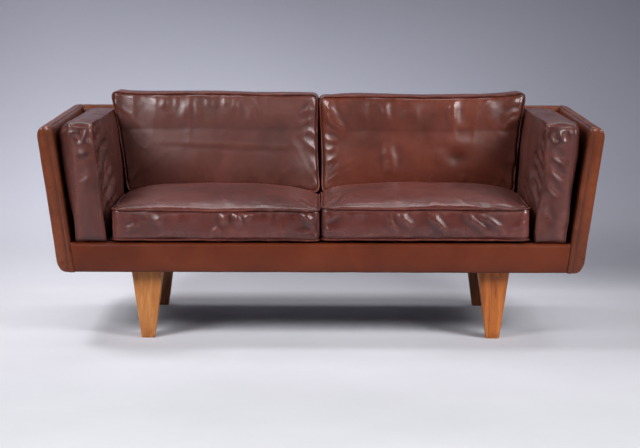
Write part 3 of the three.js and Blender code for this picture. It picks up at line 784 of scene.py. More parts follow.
# ------------------------------------------------------------------ legs
def leg(name, side, front, material):
    lo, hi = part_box(name)
    cx, cy = (lo.x + hi.x) / 2, (lo.y + hi.y) / 2
    top = hi.z
    P, F, _ = panel_block(
        (-0.5, 0.5),
        (-0.5, 0.5),
        (0, top),
        {},
        0.0175,
    )
    # square-cut taper with slightly eased edges
    U = steps(0.09, 0.006, (0.0012, 0.0026))
    V = steps(0.06, 0.006, (0.0012, 0.0026))
    W = steps(top, 0.010, (0.0012, 0.0026))
    P, F, _ = lattice(U, V, W)
    t = (P[:, 2] + 1) / 2
    wx = mix(0.040, 0.096, t) / 2
    wy = mix(0.038, 0.062, t) / 2
    x, y, z = P[:, 0] * wx, P[:, 1] * wy, t * top
    r = 0.0022
    for sx in (-1, 1):
        for sy in (-1, 1):
            x, y = corner(x, y, sx * (wx - r), sy * (wy - r), sx, sy, r)
    x, z = corner(x, z, wx - r, np.full_like(z, r), 1, -1, r)
    x, z = corner(x, z, -(wx - r), np.full_like(z, r), -1, -1, r)
    y, z = corner(y, z, wy - r, np.full_like(z, r), 1, -1, r)
    y, z = corner(y, z, -(wy - r), np.full_like(z, r), -1, -1, r)
    P = np.stack([x + cx, y + cy, z], 1)
    N = normals(P, F)
    # knocked and rubbed along the arrises, slightly uneven faces
    near = np.exp(-((wx - np.abs(x)) + (wy - np.abs(y))) / 0.004)
    d = 0.00025 * fbm(P * 40, 61) - 0.0009 * near * np.clip(noise(P * 55, 67) - 0.35, 0, 1)
    d[z < 0.0002] = 0
    P = P + N * d[:, None]
    P[:, 2] = np.clip(P[:, 2], 0, top)
    ob = make(f"{name}_turned", [(P, F, 0)], materials=(material,), floats={"crest": np.clip(near, 0, 1), "cavity": 0 * near})
    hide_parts(name)
    return ob


wood_l = wood("leg_wood_left", srgb(146, 84, 38), srgb(176, 110, 54), srgb(194, 130, 72), 1.7)
wood_r = wood("leg_wood_right", srgb(144, 74, 28), srgb(184, 104, 44), srgb(200, 124, 60), 4.9, 0.7)
leg("front_left_leg", -1, True, wood_l)
leg("front_right_leg", 1, True, wood_r)
# painted shade: the rear legs take darker copies of the leg wood, standing in for the shadow under the sofa
leg("rear_left_leg", -1, False, wood("leg_wood_rear_left_shaded", srgb(104, 56, 26), srgb(132, 76, 38), srgb(150, 94, 50), 6.4))
leg("rear_right_leg", 1, False, wood("leg_wood_rear_right_shaded", srgb(104, 54, 24), srgb(130, 72, 34), srgb(148, 88, 46), 8.8, 0.4))


# ------------------------------------------------------------------ cushions
def cubic_weights(src, dst):
    """Rows of Catmull-Rom weights that carry values from the knots src to the places dst."""
    n = len(src)
    k = np.clip(np.searchsorted(src, dst, "right") - 1, 0, n - 2)
    t = (dst - src[k]) / (src[k + 1] - src[k])
    W = np.zeros((len(dst), n))
    w = [
        -0.5 * t + t**2 - 0.5 * t**3,
        1 - 2.5 * t**2 + 1.5 * t**3,
        0.5 * t + 2 * t**2 - 1.5 * t**3,
        -0.5 * t**2 + 0.5 * t**3,
    ]
    for o, ww in zip((-1, 0, 1, 2), w):
        j = np.clip(k + o, 0, n - 1)
        np.add.at(W, (np.arange(len(dst)), j), ww)
    return W


def low_pass(G, du, dv, sigma):
    """Gaussian blur of a grid (nu, nv, c) with steps du, dv in metres."""
    def line(n, step):
        i = np.arange(n)
        W = np.exp(-0.5 * (((i[:, None] - i[None]) * step) / sigma) ** 2)
        return W / W.sum(1, keepdims=True)

    A, B = line(G.shape[0], du), line(G.shape[1], dv)
    return np.einsum("ij,jkc,lk->ilc", A, G, B)


def inflate(P, F, pinned, tight, frames=18, slack=0.035, pressure=3.0, cap=0.03):
    """Blows the sewn cover up with air pressure while its seams are held, and returns the settled points."""
    mesh = bpy.data.meshes.new("inflate")
    mesh.from_pydata(P.tolist(), [], F.tolist())
    ob = bpy.data.objects.new("inflate", mesh)
    bpy.context.scene.collection.objects.link(ob)
    g = ob.vertex_groups.new(name="pin")
    g.add([int(i) for i in np.where(pinned)[0]], 1.0, "REPLACE")
    s = ob.vertex_groups.new(name="tight")
    for lo in np.arange(0, 1.0, 0.1):
        pick = np.where((tight >= lo) & (tight < lo + 0.1))[0]
        if len(pick):
            s.add([int(i) for i in pick], float(min(lo + 0.05, 1)), "REPLACE")
    pick = np.where(tight >= 1)[0]
    if len(pick):
        s.add([int(i) for i in pick], 1.0, "REPLACE")
    m = ob.modifiers.new("cloth", "CLOTH")
    c = m.settings
    c.quality = 6
    c.mass = 0.35
    c.tension_stiffness = c.compression_stiffness = 22
    c.shear_stiffness = 12
    c.bending_stiffness = 0.35
    c.tension_damping = c.compression_damping = c.shear_damping = 6
    c.bending_damping = 0.6
    c.air_damping = 2
    c.use_pressure = True
    c.uniform_pressure_force = pressure
    c.vertex_group_mass = "pin"
    c.vertex_group_shrink = "tight"
    c.shrink_min = -slack
    c.shrink_max = 0.0
    c.effector_weights.gravity = 0
    m.collision_settings.use_collision = False
    m.collision_settings.use_self_collision = False
    m.point_cache.frame_start = 1
    m.point_cache.frame_end = frames
    sc = bpy.context.scene
    for f in range(1, frames + 1):
        sc.frame_set(f)
    dg = bpy.context.evaluated_depsgraph_get()
    ev = ob.evaluated_get(dg)
    co = np.zeros(len(P) * 3, np.float32)
    ev.data.vertices.foreach_get("co", co)
    out = co.reshape(-1, 3).astype(float)
    bpy.data.objects.remove(ob)
    bpy.data.meshes.remove(mesh)
    sc.frame_set(1)
    step = out - P
    far = np.linalg.norm(step, axis=1, keepdims=True)
    return P + step * np.minimum(1, cap / np.maximum(far, 1e-9))


def cushion(name, node, sizes, shape, detail, material, seed, pitch=0.0052, rough_pitch=0.0115, welt=0.0031, slack=0.035, pressure=3.0, gain=0.16, flip=False, lumps=0.45):
    """sizes: length in metres along u, v and t. shape(uvt, crowned) gives points; detail(uvt, points, info) gives how
    far each point moves along its normal."""
    fine = [steps(sizes[0], pitch), steps(sizes[1], pitch), steps(sizes[2], pitch)]
    uvt, F, panels = lattice(*fine)
    if flip:
        F = F[:, ::-1]
    P = shape(uvt, 1.0)
    rough = [steps(s, rough_pitch, ()) for s in sizes]
    cu, cf, cp = lattice(*rough)
    if flip:
        cf = cf[:, ::-1]
    start = shape(cu, 0.45)
    pinned = (np.abs(np.abs(cu[:, 2]) - 1) < 1e-6) & ((np.abs(np.abs(cu[:, 0]) - 1) < 1e-6) | (np.abs(np.abs(cu[:, 1]) - 1) < 1e-6))
    # distance from the nearest seam, to hold the leather tight only where it is sewn
    d_edge = np.minimum((1 - np.abs(cu[:, 0])) * sizes[0], (1 - np.abs(cu[:, 1])) * sizes[1]) / 2
    d_t = (1 - np.abs(cu[:, 2])) * sizes[2] / 2
    d = np.where(np.abs(cu[:, 2]) > 1 - 1e-6, d_edge, d_t)
    tight = np.clip(1 - d / 0.016, 0, 1)
    settled = inflate(start, cf, pinned, tight, slack=slack, pressure=pressure)
    move = settled - start
    axes = {"t": (0, 1), "v": (0, 2), "u": (1, 2)}
    add = np.zeros_like(P)
    done = np.zeros(len(P), bool)
    for key, grid in cp.items():
        a, b = axes[key[0]]
        G = move[grid]
        da, db = sizes[a] / (len(rough[a]) - 1), sizes[b] / (len(rough[b]) - 1)
        big = low_pass(G, da, db, 0.040 if key[0] == "t" else 0.022)
        G = G - big
        # hold the sewn edges where they are
        ea = np.minimum(np.arange(G.shape[0]), G.shape[0] - 1 - np.arange(G.shape[0])) * da
        eb = np.minimum(np.arange(G.shape[1]), G.shape[1] - 1 - np.arange(G.shape[1])) * db
        w = smooth(np.minimum(ea[:, None], eb[None]), 0.0, 0.014)
        G = G * w[..., None] * gain * (1.0 if key[0] == "t" else 0.4)
        Wa, Wb = cubic_weights(rough[a], fine[a]), cubic_weights(rough[b], fine[b])
        H = np.einsum("ij,jkc,lk->ilc", Wa, G, Wb)
        add[panels[key]] = H
    P = P + add
    N = normals(P, F)
    half = np.array(sizes) / 2
    info = {
        "u": (1 - np.abs(uvt[:, 0])) * half[0],
        "v": (1 - np.abs(uvt[:, 1])) * half[1],
        "t": (1 - np.abs(uvt[:, 2])) * half[2],
        "faces": np.abs(uvt[:, 2]) > 1 - 1e-6,
        "top": uvt[:, 2] > 1 - 1e-6,
        "bottom": uvt[:, 2] < -1 + 1e-6,
    }
    on_face = info["faces"]
    # distance to the nearest seam, and how far along it
    edge = np.where(on_face, np.minimum(info["u"], info["v"]), info["t"])
    by_u = info["u"] < info["v"]
    s_face = np.where(by_u, uvt[:, 1] * half[1] + 3 * np.sign(uvt[:, 0]), uvt[:, 0] * half[0] + 7 * np.sign(uvt[:, 1]))
    side_u = np.abs(uvt[:, 0]) > 1 - 1e-6
    s_box = np.where(side_u, uvt[:, 1] * half[1] + 13 * np.sign(uvt[:, 0]), uvt[:, 0] * half[0] + 17 * np.sign(uvt[:, 1]))
    s = np.where(on_face, s_face + 31 * np.sign(uvt[:, 2]), s_box + 5 * np.sign(uvt[:, 2]))
    reach = np.where(on_face, min(half[0], half[1]), half[2])
    info.update(edge=edge, s=s, box=~on_face, fade=1 - smooth(edge / reach, 0.5, 0.97))
    d = detail(uvt, P, info)
    # sewn edge: the leather dips into the seam beside the welt
    d = d - 0.0028 * np.exp(-((edge / 0.0046) ** 2)) * smooth(edge, -0.001, 0.002)
    d = d + 0.0009 * lumps * fbm(P * 30, seed + 91, 3) * smooth(edge, 0.0, 0.02)
    d = np.where(edge < 1e-5, 0, d)
    P = P + N * d[:, None]
    att = crest_cavity(P, F, 0.0007, 0.0013, 3)
    # painted shade: the leather beside each welt is counted as hollow, so the shader darkens it; it is also kept from
    # wearing pale there
    near = np.exp(-((edge / 0.006) ** 2))
    att["cavity"] = np.clip(att["cavity"] + 0.40 * near, 0, 1)
    att["crest"] = att["crest"] * (1 - near)
    parts = [(P, F, 0)]
    crest_all = [att["crest"]]
    cav_all = [att["cavity"]]
    nu, nv, nt = (len(f) for f in fine)
    N2 = normals(P, F)
    for face in ("t+", "t-"):
        g = panels[face]
        loop = np.concatenate([g[:-1, 0], g[-1, :-1], g[:0:-1, -1], g[0, :0:-1]])
        path = P[loop] + N2[loop] * (welt * 0.50)
        # even out the spacing
        seglen = np.linalg.norm(np.roll(path, -1, 0) - path, axis=1)
        cum = np.concatenate([[0], np.cumsum(seglen)])
        n = int(cum[-1] / 0.0055)
        at = np.linspace(0, cum[-1], n, endpoint=False)
        closed = np.vstack([path, path[:1]])
        path = np.stack([np.interp(at, cum, closed[:, k]) for k in range(3)], 1)
        path = smoothed(path, 2)
        w = np.linspace(0, 2 * math.pi, n, endpoint=False)
        ring = np.stack([np.cos(w), np.sin(w)], 1)
        path = path + 0.0011 * np.stack([noise(ring * (cum[-1] * 4.0), seed + k) for k in (1, 2, 3)], 1)
        r = welt * (1 + 0.14 * noise(ring * (cum[-1] * 12), seed + 4))
        V4, Q4 = tube(path, r, 8)
        parts.append((V4, Q4, 1))
        rub = np.clip(noise(ring * (cum[-1] * 9), seed + 6) * 1.0 - 0.10, 0, 1)
        crest_all.append(np.repeat(rub, 8))
        cav_all.append(np.zeros(len(V4)))
    ob = make(name, parts, materials=(material, M["welt"]), floats={"crest": np.concatenate(crest_all), "cavity": np.concatenate(cav_all)})
    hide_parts(node)
    return ob


def puckers(info, seed, amp, reach=0.022, freq=70.0, tilt=0.6):
    """Short folds that run out of a seam, close together beside it and merging further from it."""
    e, s = info["edge"], info["s"]
    lean = tilt * noise(np.stack([s * 9, e * 0 + 2.0], 1), seed + 1)
    k = s + lean * e
    near = ridge(noise(np.stack([k * freq, e * 12], 1), seed + 2), 1.6) * np.exp(-e / (reach * 0.55))
    wide = ridge(noise(np.stack([k * freq * 0.42, e * 9 + 4], 1), seed + 3), 2.0) * np.exp(-e / (reach * 1.6))
    gate = 0.35 + 0.65 * smooth(noise(np.stack([s * 7.5, e * 0 + 9.0], 1), seed + 4), -0.35, 0.45)
    return amp * gate * (0.55 * near + 0.75 * wide) * smooth(e, 0.0, 0.006) * info["fade"]


def fan(P2, c, seed, amp, reach=0.06, spokes=5.0):
    """Folds that spread out of a corner c in the plane of P2."""
    q = P2 - np.array(c, float)
    r = np.hypot(q[:, 0], q[:, 1])
    w = np.arctan2(q[:, 1], q[:, 0])
    return amp * ridge(noise(np.stack([w * spokes, r * 6], 1), seed), 2.0) * np.exp(-r / reach) * smooth(r, 0.002, 0.016)


SEAT_X0, SEAT_X1 = 0.003, 0.6295
SEAT_Y0, SEAT_Y1 = -0.397, 0.262
SEAT_W0, SEAT_W1 = 0.3105, 0.398


def seat(side):
    tag = "right" if side > 0 else "left"
    A, B = (SEAT_X1 - SEAT_X0) / 2, (SEAT_Y1 - SEAT_Y0) / 2
    cx, cy = side * (SEAT_X0 + SEAT_X1) / 2, (SEAT_Y0 + SEAT_Y1) / 2

    def shape(q, crowned):
        u, v, t = q.T
        x, y = u * A, v * B
        for sx in (-1, 1):
            for sy in (-1, 1):
                x, y = corner(x, y, sx * (A - 0.020), sy * (B - 0.020), sx, sy, 0.020)
        # sides pull in between the corners, and the boxing swells between its seams
        x = x * (1 - 0.008 * bell(v, 2.0))
        y = y * (1 - 0.006 * bell(u, 2.0))
        swell = 0.0060 * bell(t, 2.0)
        x = x + np.sign(u) * smooth(np.abs(u), 0.9, 1.0) * swell * 0.2
        y = y + np.sign(v) * smooth(np.abs(v), 0.9, 1.0) * swell * bell(u, 8)
        rear = smooth(v, 0.2, 0.8)
        z = mix(SEAT_W0 + (0.002 if side > 0 else 0), SEAT_W1 + (0.006 if side > 0 else 0) - 0.012 * rear, (t + 1) / 2)
        # the top seam rides up a little at the corners
        z = z + np.where(t > 0, t, 0) * (0.0028 * smooth(np.abs(u), 0.9, 1) * smooth(-v, 0.8, 1) + 0.0012 * np.sin(u * 5 + side) * (v < -0.9))
        e = np.minimum((1 - np.abs(u)) * A, (1 - np.abs(v)) * B)
        top = (t > 1 - 1e-6) * 0.0335 * dome(u, v, 3.1, 0.66) * (1 - 0.70 * smooth(v, 0.25, 0.75))
        z = z - np.where(t > 0, t, 0) * 0.010 * smooth(v, -0.1, 0.8) * smooth(np.abs(u), 0.80, 1.0)
        low = (t < -1 + 1e-6) * -0.0100 * smooth(e, 0.0, 0.022)
        z = z + crowned * top + low
        return np.stack([cx + x, cy + y, z], 1)

    def detail(q, P, info):
        seed = 300 if side > 0 else 200
        XY, XZ = P[:, :2], P[:, [0, 2]]
        top, frontbox = info["top"], (q[:, 1] < -1 + 1e-6)
        d = np.where(top, puckers(info, seed, 0.0046, 0.026, 58), puckers(info, seed + 20, 0.0030, 0.020, 64))
        d = np.where(info["bottom"], 0, d)
        # broad, soft hollows where it has been sat on
        W = XY @ np.array([[0.82, 0.57], [-0.57, 0.82]]) + 0.05 * np.stack([noise(XY * 4, seed + 70), noise(XY * 4 + 9, seed + 71)], 1)
        t = 0.0046 * fbm(W * 4.2, seed + 40, 2)
        t += 0.0006 * ridge(noise(W * 12, seed + 41), 1.6)
        if side < 0:
            t += seg(XY, (-0.44, 0.00), (-0.30, -0.01), 0.020, 0.0040)
            t += seg(XY, (-0.060, -0.20), (-0.014, -0.33), 0.0060, 0.0050, 0.2, 0.4)
            t += seg(XY, (-0.090, -0.25), (-0.020, -0.375), 0.0055, 0.0042, 0.2, 0.4)
            t += seg(XY, (-0.30, -0.24), (-0.275, -0.385), 0.012, 0.0044)
            t += seg(XY, (-0.21, -0.30), (-0.165, -0.385), 0.010, 0.0032)
            t += seg(XY, (-0.52, -0.30), (-0.47, -0.385), 0.012, 0.0030)
            t += fan(XY, (-SEAT_X0 - 0.004, SEAT_Y0 + 0.004), seed + 44, 0.0060, 0.07)
            t += fan(XY, (-SEAT_X1 + 0.004, SEAT_Y0 + 0.004), seed + 45, 0.0040, 0.06)
        else:
            t += seg(XY, (0.006, -0.385), (0.074, -0.150), 0.0075, 0.0085, 0.18, 0.5)
            t -= seg(XY, (0.022, -0.385), (0.096, -0.170), 0.0080, 0.0040, 0.2)
            t += seg(XY, (0.030, -0.385), (0.130, -0.24), 0.0070, 0.0030, 0.2)
            t += seg(XY, (0.33, -0.33), (0.36, -0.39), 0.010, 0.0030)
            t += seg(XY, (0.40, -0.29), (0.44, -0.385), 0.009, 0.0036)
            t += seg(XY, (0.25, -0.27), (0.23, -0.385), 0.012, 0.0028)
            t += fan(XY, (SEAT_X0 + 0.004, SEAT_Y0 + 0.004), seed + 44, 0.0050, 0.06)
            t += fan(XY, (SEAT_X1 - 0.004, SEAT_Y0 + 0.004), seed + 45, 0.0044, 0.06)
        d = d + top * t * smooth(info["edge"], 0.0, 0.014)
        f = 0.0020 * fbm(XZ * np.array([9.0, 14.0]), seed + 50, 2)
        if side < 0:
            f += seg(XZ, (-0.296, 0.396), (-0.288, 0.350), 0.010, 0.0050)
            f += seg(XZ, (-0.262, 0.396), (-0.236, 0.345), 0.008, 0.0042)
            f += seg(XZ, (-0.300, 0.350), (-0.330, 0.322), 0.010, 0.0026)
            f += seg(XZ, (-0.232, 0.372), (-0.206, 0.392), 0.006, 0.0030)
            f += seg(XZ, (-0.475, 0.390), (-0.500, 0.348), 0.012, 0.0032)
            f += seg(XZ, (-0.060, 0.392), (-0.018, 0.362), 0.007, 0.0048)
            f += seg(XZ, (-0.046, 0.372), (-0.010, 0.336), 0.006, 0.0040)
            f += seg(XZ, (-0.080, 0.330), (-0.016, 0.342), 0.006, 0.0030)
            f += seg(XZ, (-0.600, 0.336), (-0.540, 0.362), 0.008, 0.0030)
        else:
            XZ = XZ - np.array([0, 0.004])
            f += seg(XZ, (0.425, 0.398), (0.512, 0.318), 0.0080, 0.0046, 0.2, 0.3)
            f += seg(XZ, (0.452, 0.398), (0.560, 0.334), 0.0065, 0.0034, 0.2, 0.3)
            f += seg(XZ, (0.318, 0.390), (0.392, 0.318), 0.0085, 0.0042, 0.2, 0.3)
            f += seg(XZ, (0.232, 0.396), (0.282, 0.338), 0.0080, 0.0036, 0.2, 0.3)
            f += seg(XZ, (0.196, 0.380), (0.236, 0.325), 0.0080, 0.0028)
            f += seg(XZ, (0.010, 0.362), (0.060, 0.392), 0.0060, 0.0030)
            f += seg(XZ, (0.010, 0.342), (0.052, 0.330), 0.0060, 0.0030)
            f += seg(XZ, (0.575, 0.340), (0.622, 0.366), 0.0060, 0.0030)
        d = d + frontbox * 2.8 * f * smooth(info["edge"], 0.0, 0.012)
        return d

    return cushion(
        f"{tag}_seat_cushion_leather", f"{tag}_seat_cushion", (2 * A, 2 * B, 0.0875), shape, detail, M["seat"],
        1000 + side, slack=0.016, pressure=3.0,
    )


def arm_pad(side):
    tag = "right" if side > 0 else "left"
    Z0, Z1 = 0.3005, 0.6520

    # u runs front to rear, v up, t outwards
    def shape(q, crowned):
        u, v, t = q.T
        s0 = (v + 1) / 2
        z = mix(Z0 + 0.003, Z1, s0)
        s = (z - 0.303) / 0.340
        yr = mix(0.262, 0.340, s)
        L = (yr + 0.395) / 2
        yc = (yr - 0.395) / 2
        a, b = u * L, v * (Z1 - Z0) / 2
        H = (Z1 - Z0) / 2
        a, b = corner(a, b, -(L - 0.034), H - 0.034, -1, 1, 0.034)
        a, b = corner(a, b, L - 0.020, H - 0.020, 1, 1, 0.020)
        a, b = corner(a, b, -(L - 0.012), -(H - 0.012), -1, -1, 0.012)
        a, b = corner(a, b, L - 0.012, -(H - 0.012), 1, -1, 0.012)
        b = b * (1 - 0.012 * bell(u, 2.0) * (v > 0))
        a = a * (1 - 0.006 * bell(v, 2.0) * (u < 0))
        y, z = yc + a, (Z0 + Z1) / 2 + b
        z = z + ((0.0020 if side < 0 else 0.0045) - (0.0060 if side < 0 else 0.0065) * a / L) * smooth(v, -0.2, 0.9)
        s = (z - 0.303) / 0.340
        wave = 0.0 if side < 0 else 0.0042
        inner = mix(0.648, 0.6865 if side < 0 else 0.6800, s) + wave * np.sin(z * 26 + 1.0) * smooth(-u, 0.6, 1)
        outer = mix(0.738, 0.7565 if side < 0 else 0.7665, s) + wave * 0.5 * np.sin(z * 31 + 2.5) * smooth(-u, 0.6, 1)
        x = mix(inner, outer, (t + 1) / 2)
        swell = 0.0065 * bell(t, 2.0)
        y = y + np.sign(u) * smooth(np.abs(u), 0.92, 1.0) * swell * bell(v, 10)
        z = z + smooth(v, 0.93, 1.0) * swell * 0.95 * bell(u, 14)
        out = (t > 1 - 1e-6) * (0.056 if side < 0 else 0.026) * dome(u, np.clip(v * 1.0, -1, 1), 6, 0.55) * smooth(v, -1.15, 0.55)
        inn = (t < -1 + 1e-6) * 0.016 * dome(u, v, 2.6, 0.6)
        x = x + crowned * (out - inn)
        x = np.minimum(x, arm_in(z) - 0.0045)
        return np.stack([side * x, y, z], 1)

    def detail(q, P, info):
        seed = 500 if side > 0 else 400
        YZ, XZ = P[:, 1:], np.stack([np.abs(P[:, 0]), P[:, 2]], 1)
        inner, outer = info["bottom"], info["top"]
        frontbox = (q[:, 0] < -1 + 1e-6)
        topbox = (q[:, 1] > 1 - 1e-6)
        strong = smooth(-q[:, 0], 0.0, 0.9)
        d = np.where(inner, puckers(info, seed, 0.0095 * (0.30 + 0.70 * strong), 0.040, 40, 1.2), puckers(info, seed + 20, 0.0030, 0.020, 60))
        d = np.where(outer, puckers(info, seed + 30, 0.0050, 0.026, 52), d)
        t = 0.0024 * fbm(YZ * 7, seed + 40, 2)
        if side < 0:
            t += seg(YZ, (-0.385, 0.395), (-0.060, 0.475), 0.0105, 0.0115, 0.12, 0.5)
            t += seg(YZ, (-0.385, 0.425), (-0.100, 0.520), 0.0100, 0.0105, 0.12, 0.5)
            t += seg(YZ, (-0.385, 0.462), (-0.120, 0.545), 0.0105, 0.0110, 0.12, 0.5)
            t += seg(YZ, (-0.385, 0.500), (-0.180, 0.560), 0.0095, 0.0095, 0.12, 0.5)
            t += seg(YZ, (-0.385, 0.545), (-0.100, 0.590), 0.0095, 0.0085, 0.12, 0.5)
            t += seg(YZ, (-0.385, 0.590), (-0.200, 0.620), 0.0095, 0.0070, 0.12, 0.4)
            t += seg(YZ, (-0.360, 0.365), (-0.020, 0.425), 0.0105, 0.0080, 0.12, 0.4)
        else:
            t += seg(YZ, (-0.385, 0.405), (-0.200, 0.470), 0.0100, 0.0095, 0.12, 0.5)
            t += seg(YZ, (-0.385, 0.450), (-0.160, 0.520), 0.0105, 0.0100, 0.12, 0.5)
            t += seg(YZ, (-0.385, 0.500), (-0.180, 0.545), 0.0100, 0.0100, 0.12, 0.5)
            t += seg(YZ, (-0.385, 0.545), (-0.240, 0.575), 0.0095, 0.0085, 0.12, 0.5)
            t += seg(YZ, (-0.385, 0.590), (-0.260, 0.600), 0.0095, 0.0065, 0.12, 0.4)
        t += fan(YZ, (-0.388, 0.645), seed + 46, 0.0060, 0.06)
        y0 = YZ[:, 0] + 0.39
        run = ridge(noise(np.stack([YZ[:, 1] * 26 - y0 * 7 + 1.0 * noise(YZ * 7, seed + 47), y0 * 3.0], 1), seed + 48), 1.7)
        t += (0.0050 if side < 0 else 0.0035) * run * np.exp(-y0 / 0.30) * smooth(YZ[:, 1], 0.33, 0.40) * (1 - smooth(YZ[:, 1], 0.57, 0.64))
        d = d + inner * 1.8 * t * smooth(info["edge"], 0.0, 0.012)
        f = 0.0022 * fbm(XZ * np.array([16.0, 9.0]), seed + 50, 2)
        if side < 0:
            f += seg(XZ, (0.742, 0.632), (0.720, 0.600), 0.006, 0.0046)
            f += seg(XZ, (0.690, 0.640), (0.700, 0.600), 0.006, 0.0050)
            f += seg(XZ, (0.712, 0.650), (0.716, 0.610), 0.007, 0.0036)
            f -= seg(XZ, (0.690, 0.560), (0.740, 0.572), 0.014, 0.0030)
            f += seg(XZ, (0.690, 0.520), (0.735, 0.490), 0.010, 0.0024)
        else:
            f += seg(XZ, (0.694, 0.642), (0.712, 0.606), 0.0060, 0.0062, 0.2, 0.4)
            f += seg(XZ, (0.730, 0.646), (0.736, 0.610), 0.0060, 0.0062, 0.2, 0.4)
            f -= seg(XZ, (0.712, 0.640), (0.722, 0.600), 0.0070, 0.0040)
            f += seg(XZ, (0.690, 0.585), (0.742, 0.545), 0.0085, 0.0044)
            f += seg(XZ, (0.688, 0.545), (0.736, 0.490), 0.0080, 0.0036)
            f += seg(XZ, (0.680, 0.490), (0.726, 0.440), 0.0080, 0.0034)
            f += seg(XZ, (0.672, 0.420), (0.700, 0.360), 0.0080, 0.0028)
        d = d + frontbox * 2.2 * f * smooth(info["edge"], 0.0, 0.010)
        d = d + topbox * 0.0060 * fbm(P[:, :2] * np.array([14.0, 7.0]), seed + 60, 2) * smooth(info["edge"], 0.0, 0.010)
        d = np.where(q[:, 1] < -1 + 1e-6, 0, d)
        return d

    return cushion(
        f"{tag}_arm_cushion_leather", f"{tag}_arm_cushion", (0.70, 0.35, 0.082), shape, detail, M["armpad"],
        1100 + side, slack=0.020, pressure=2.6, flip=side > 0,
    )


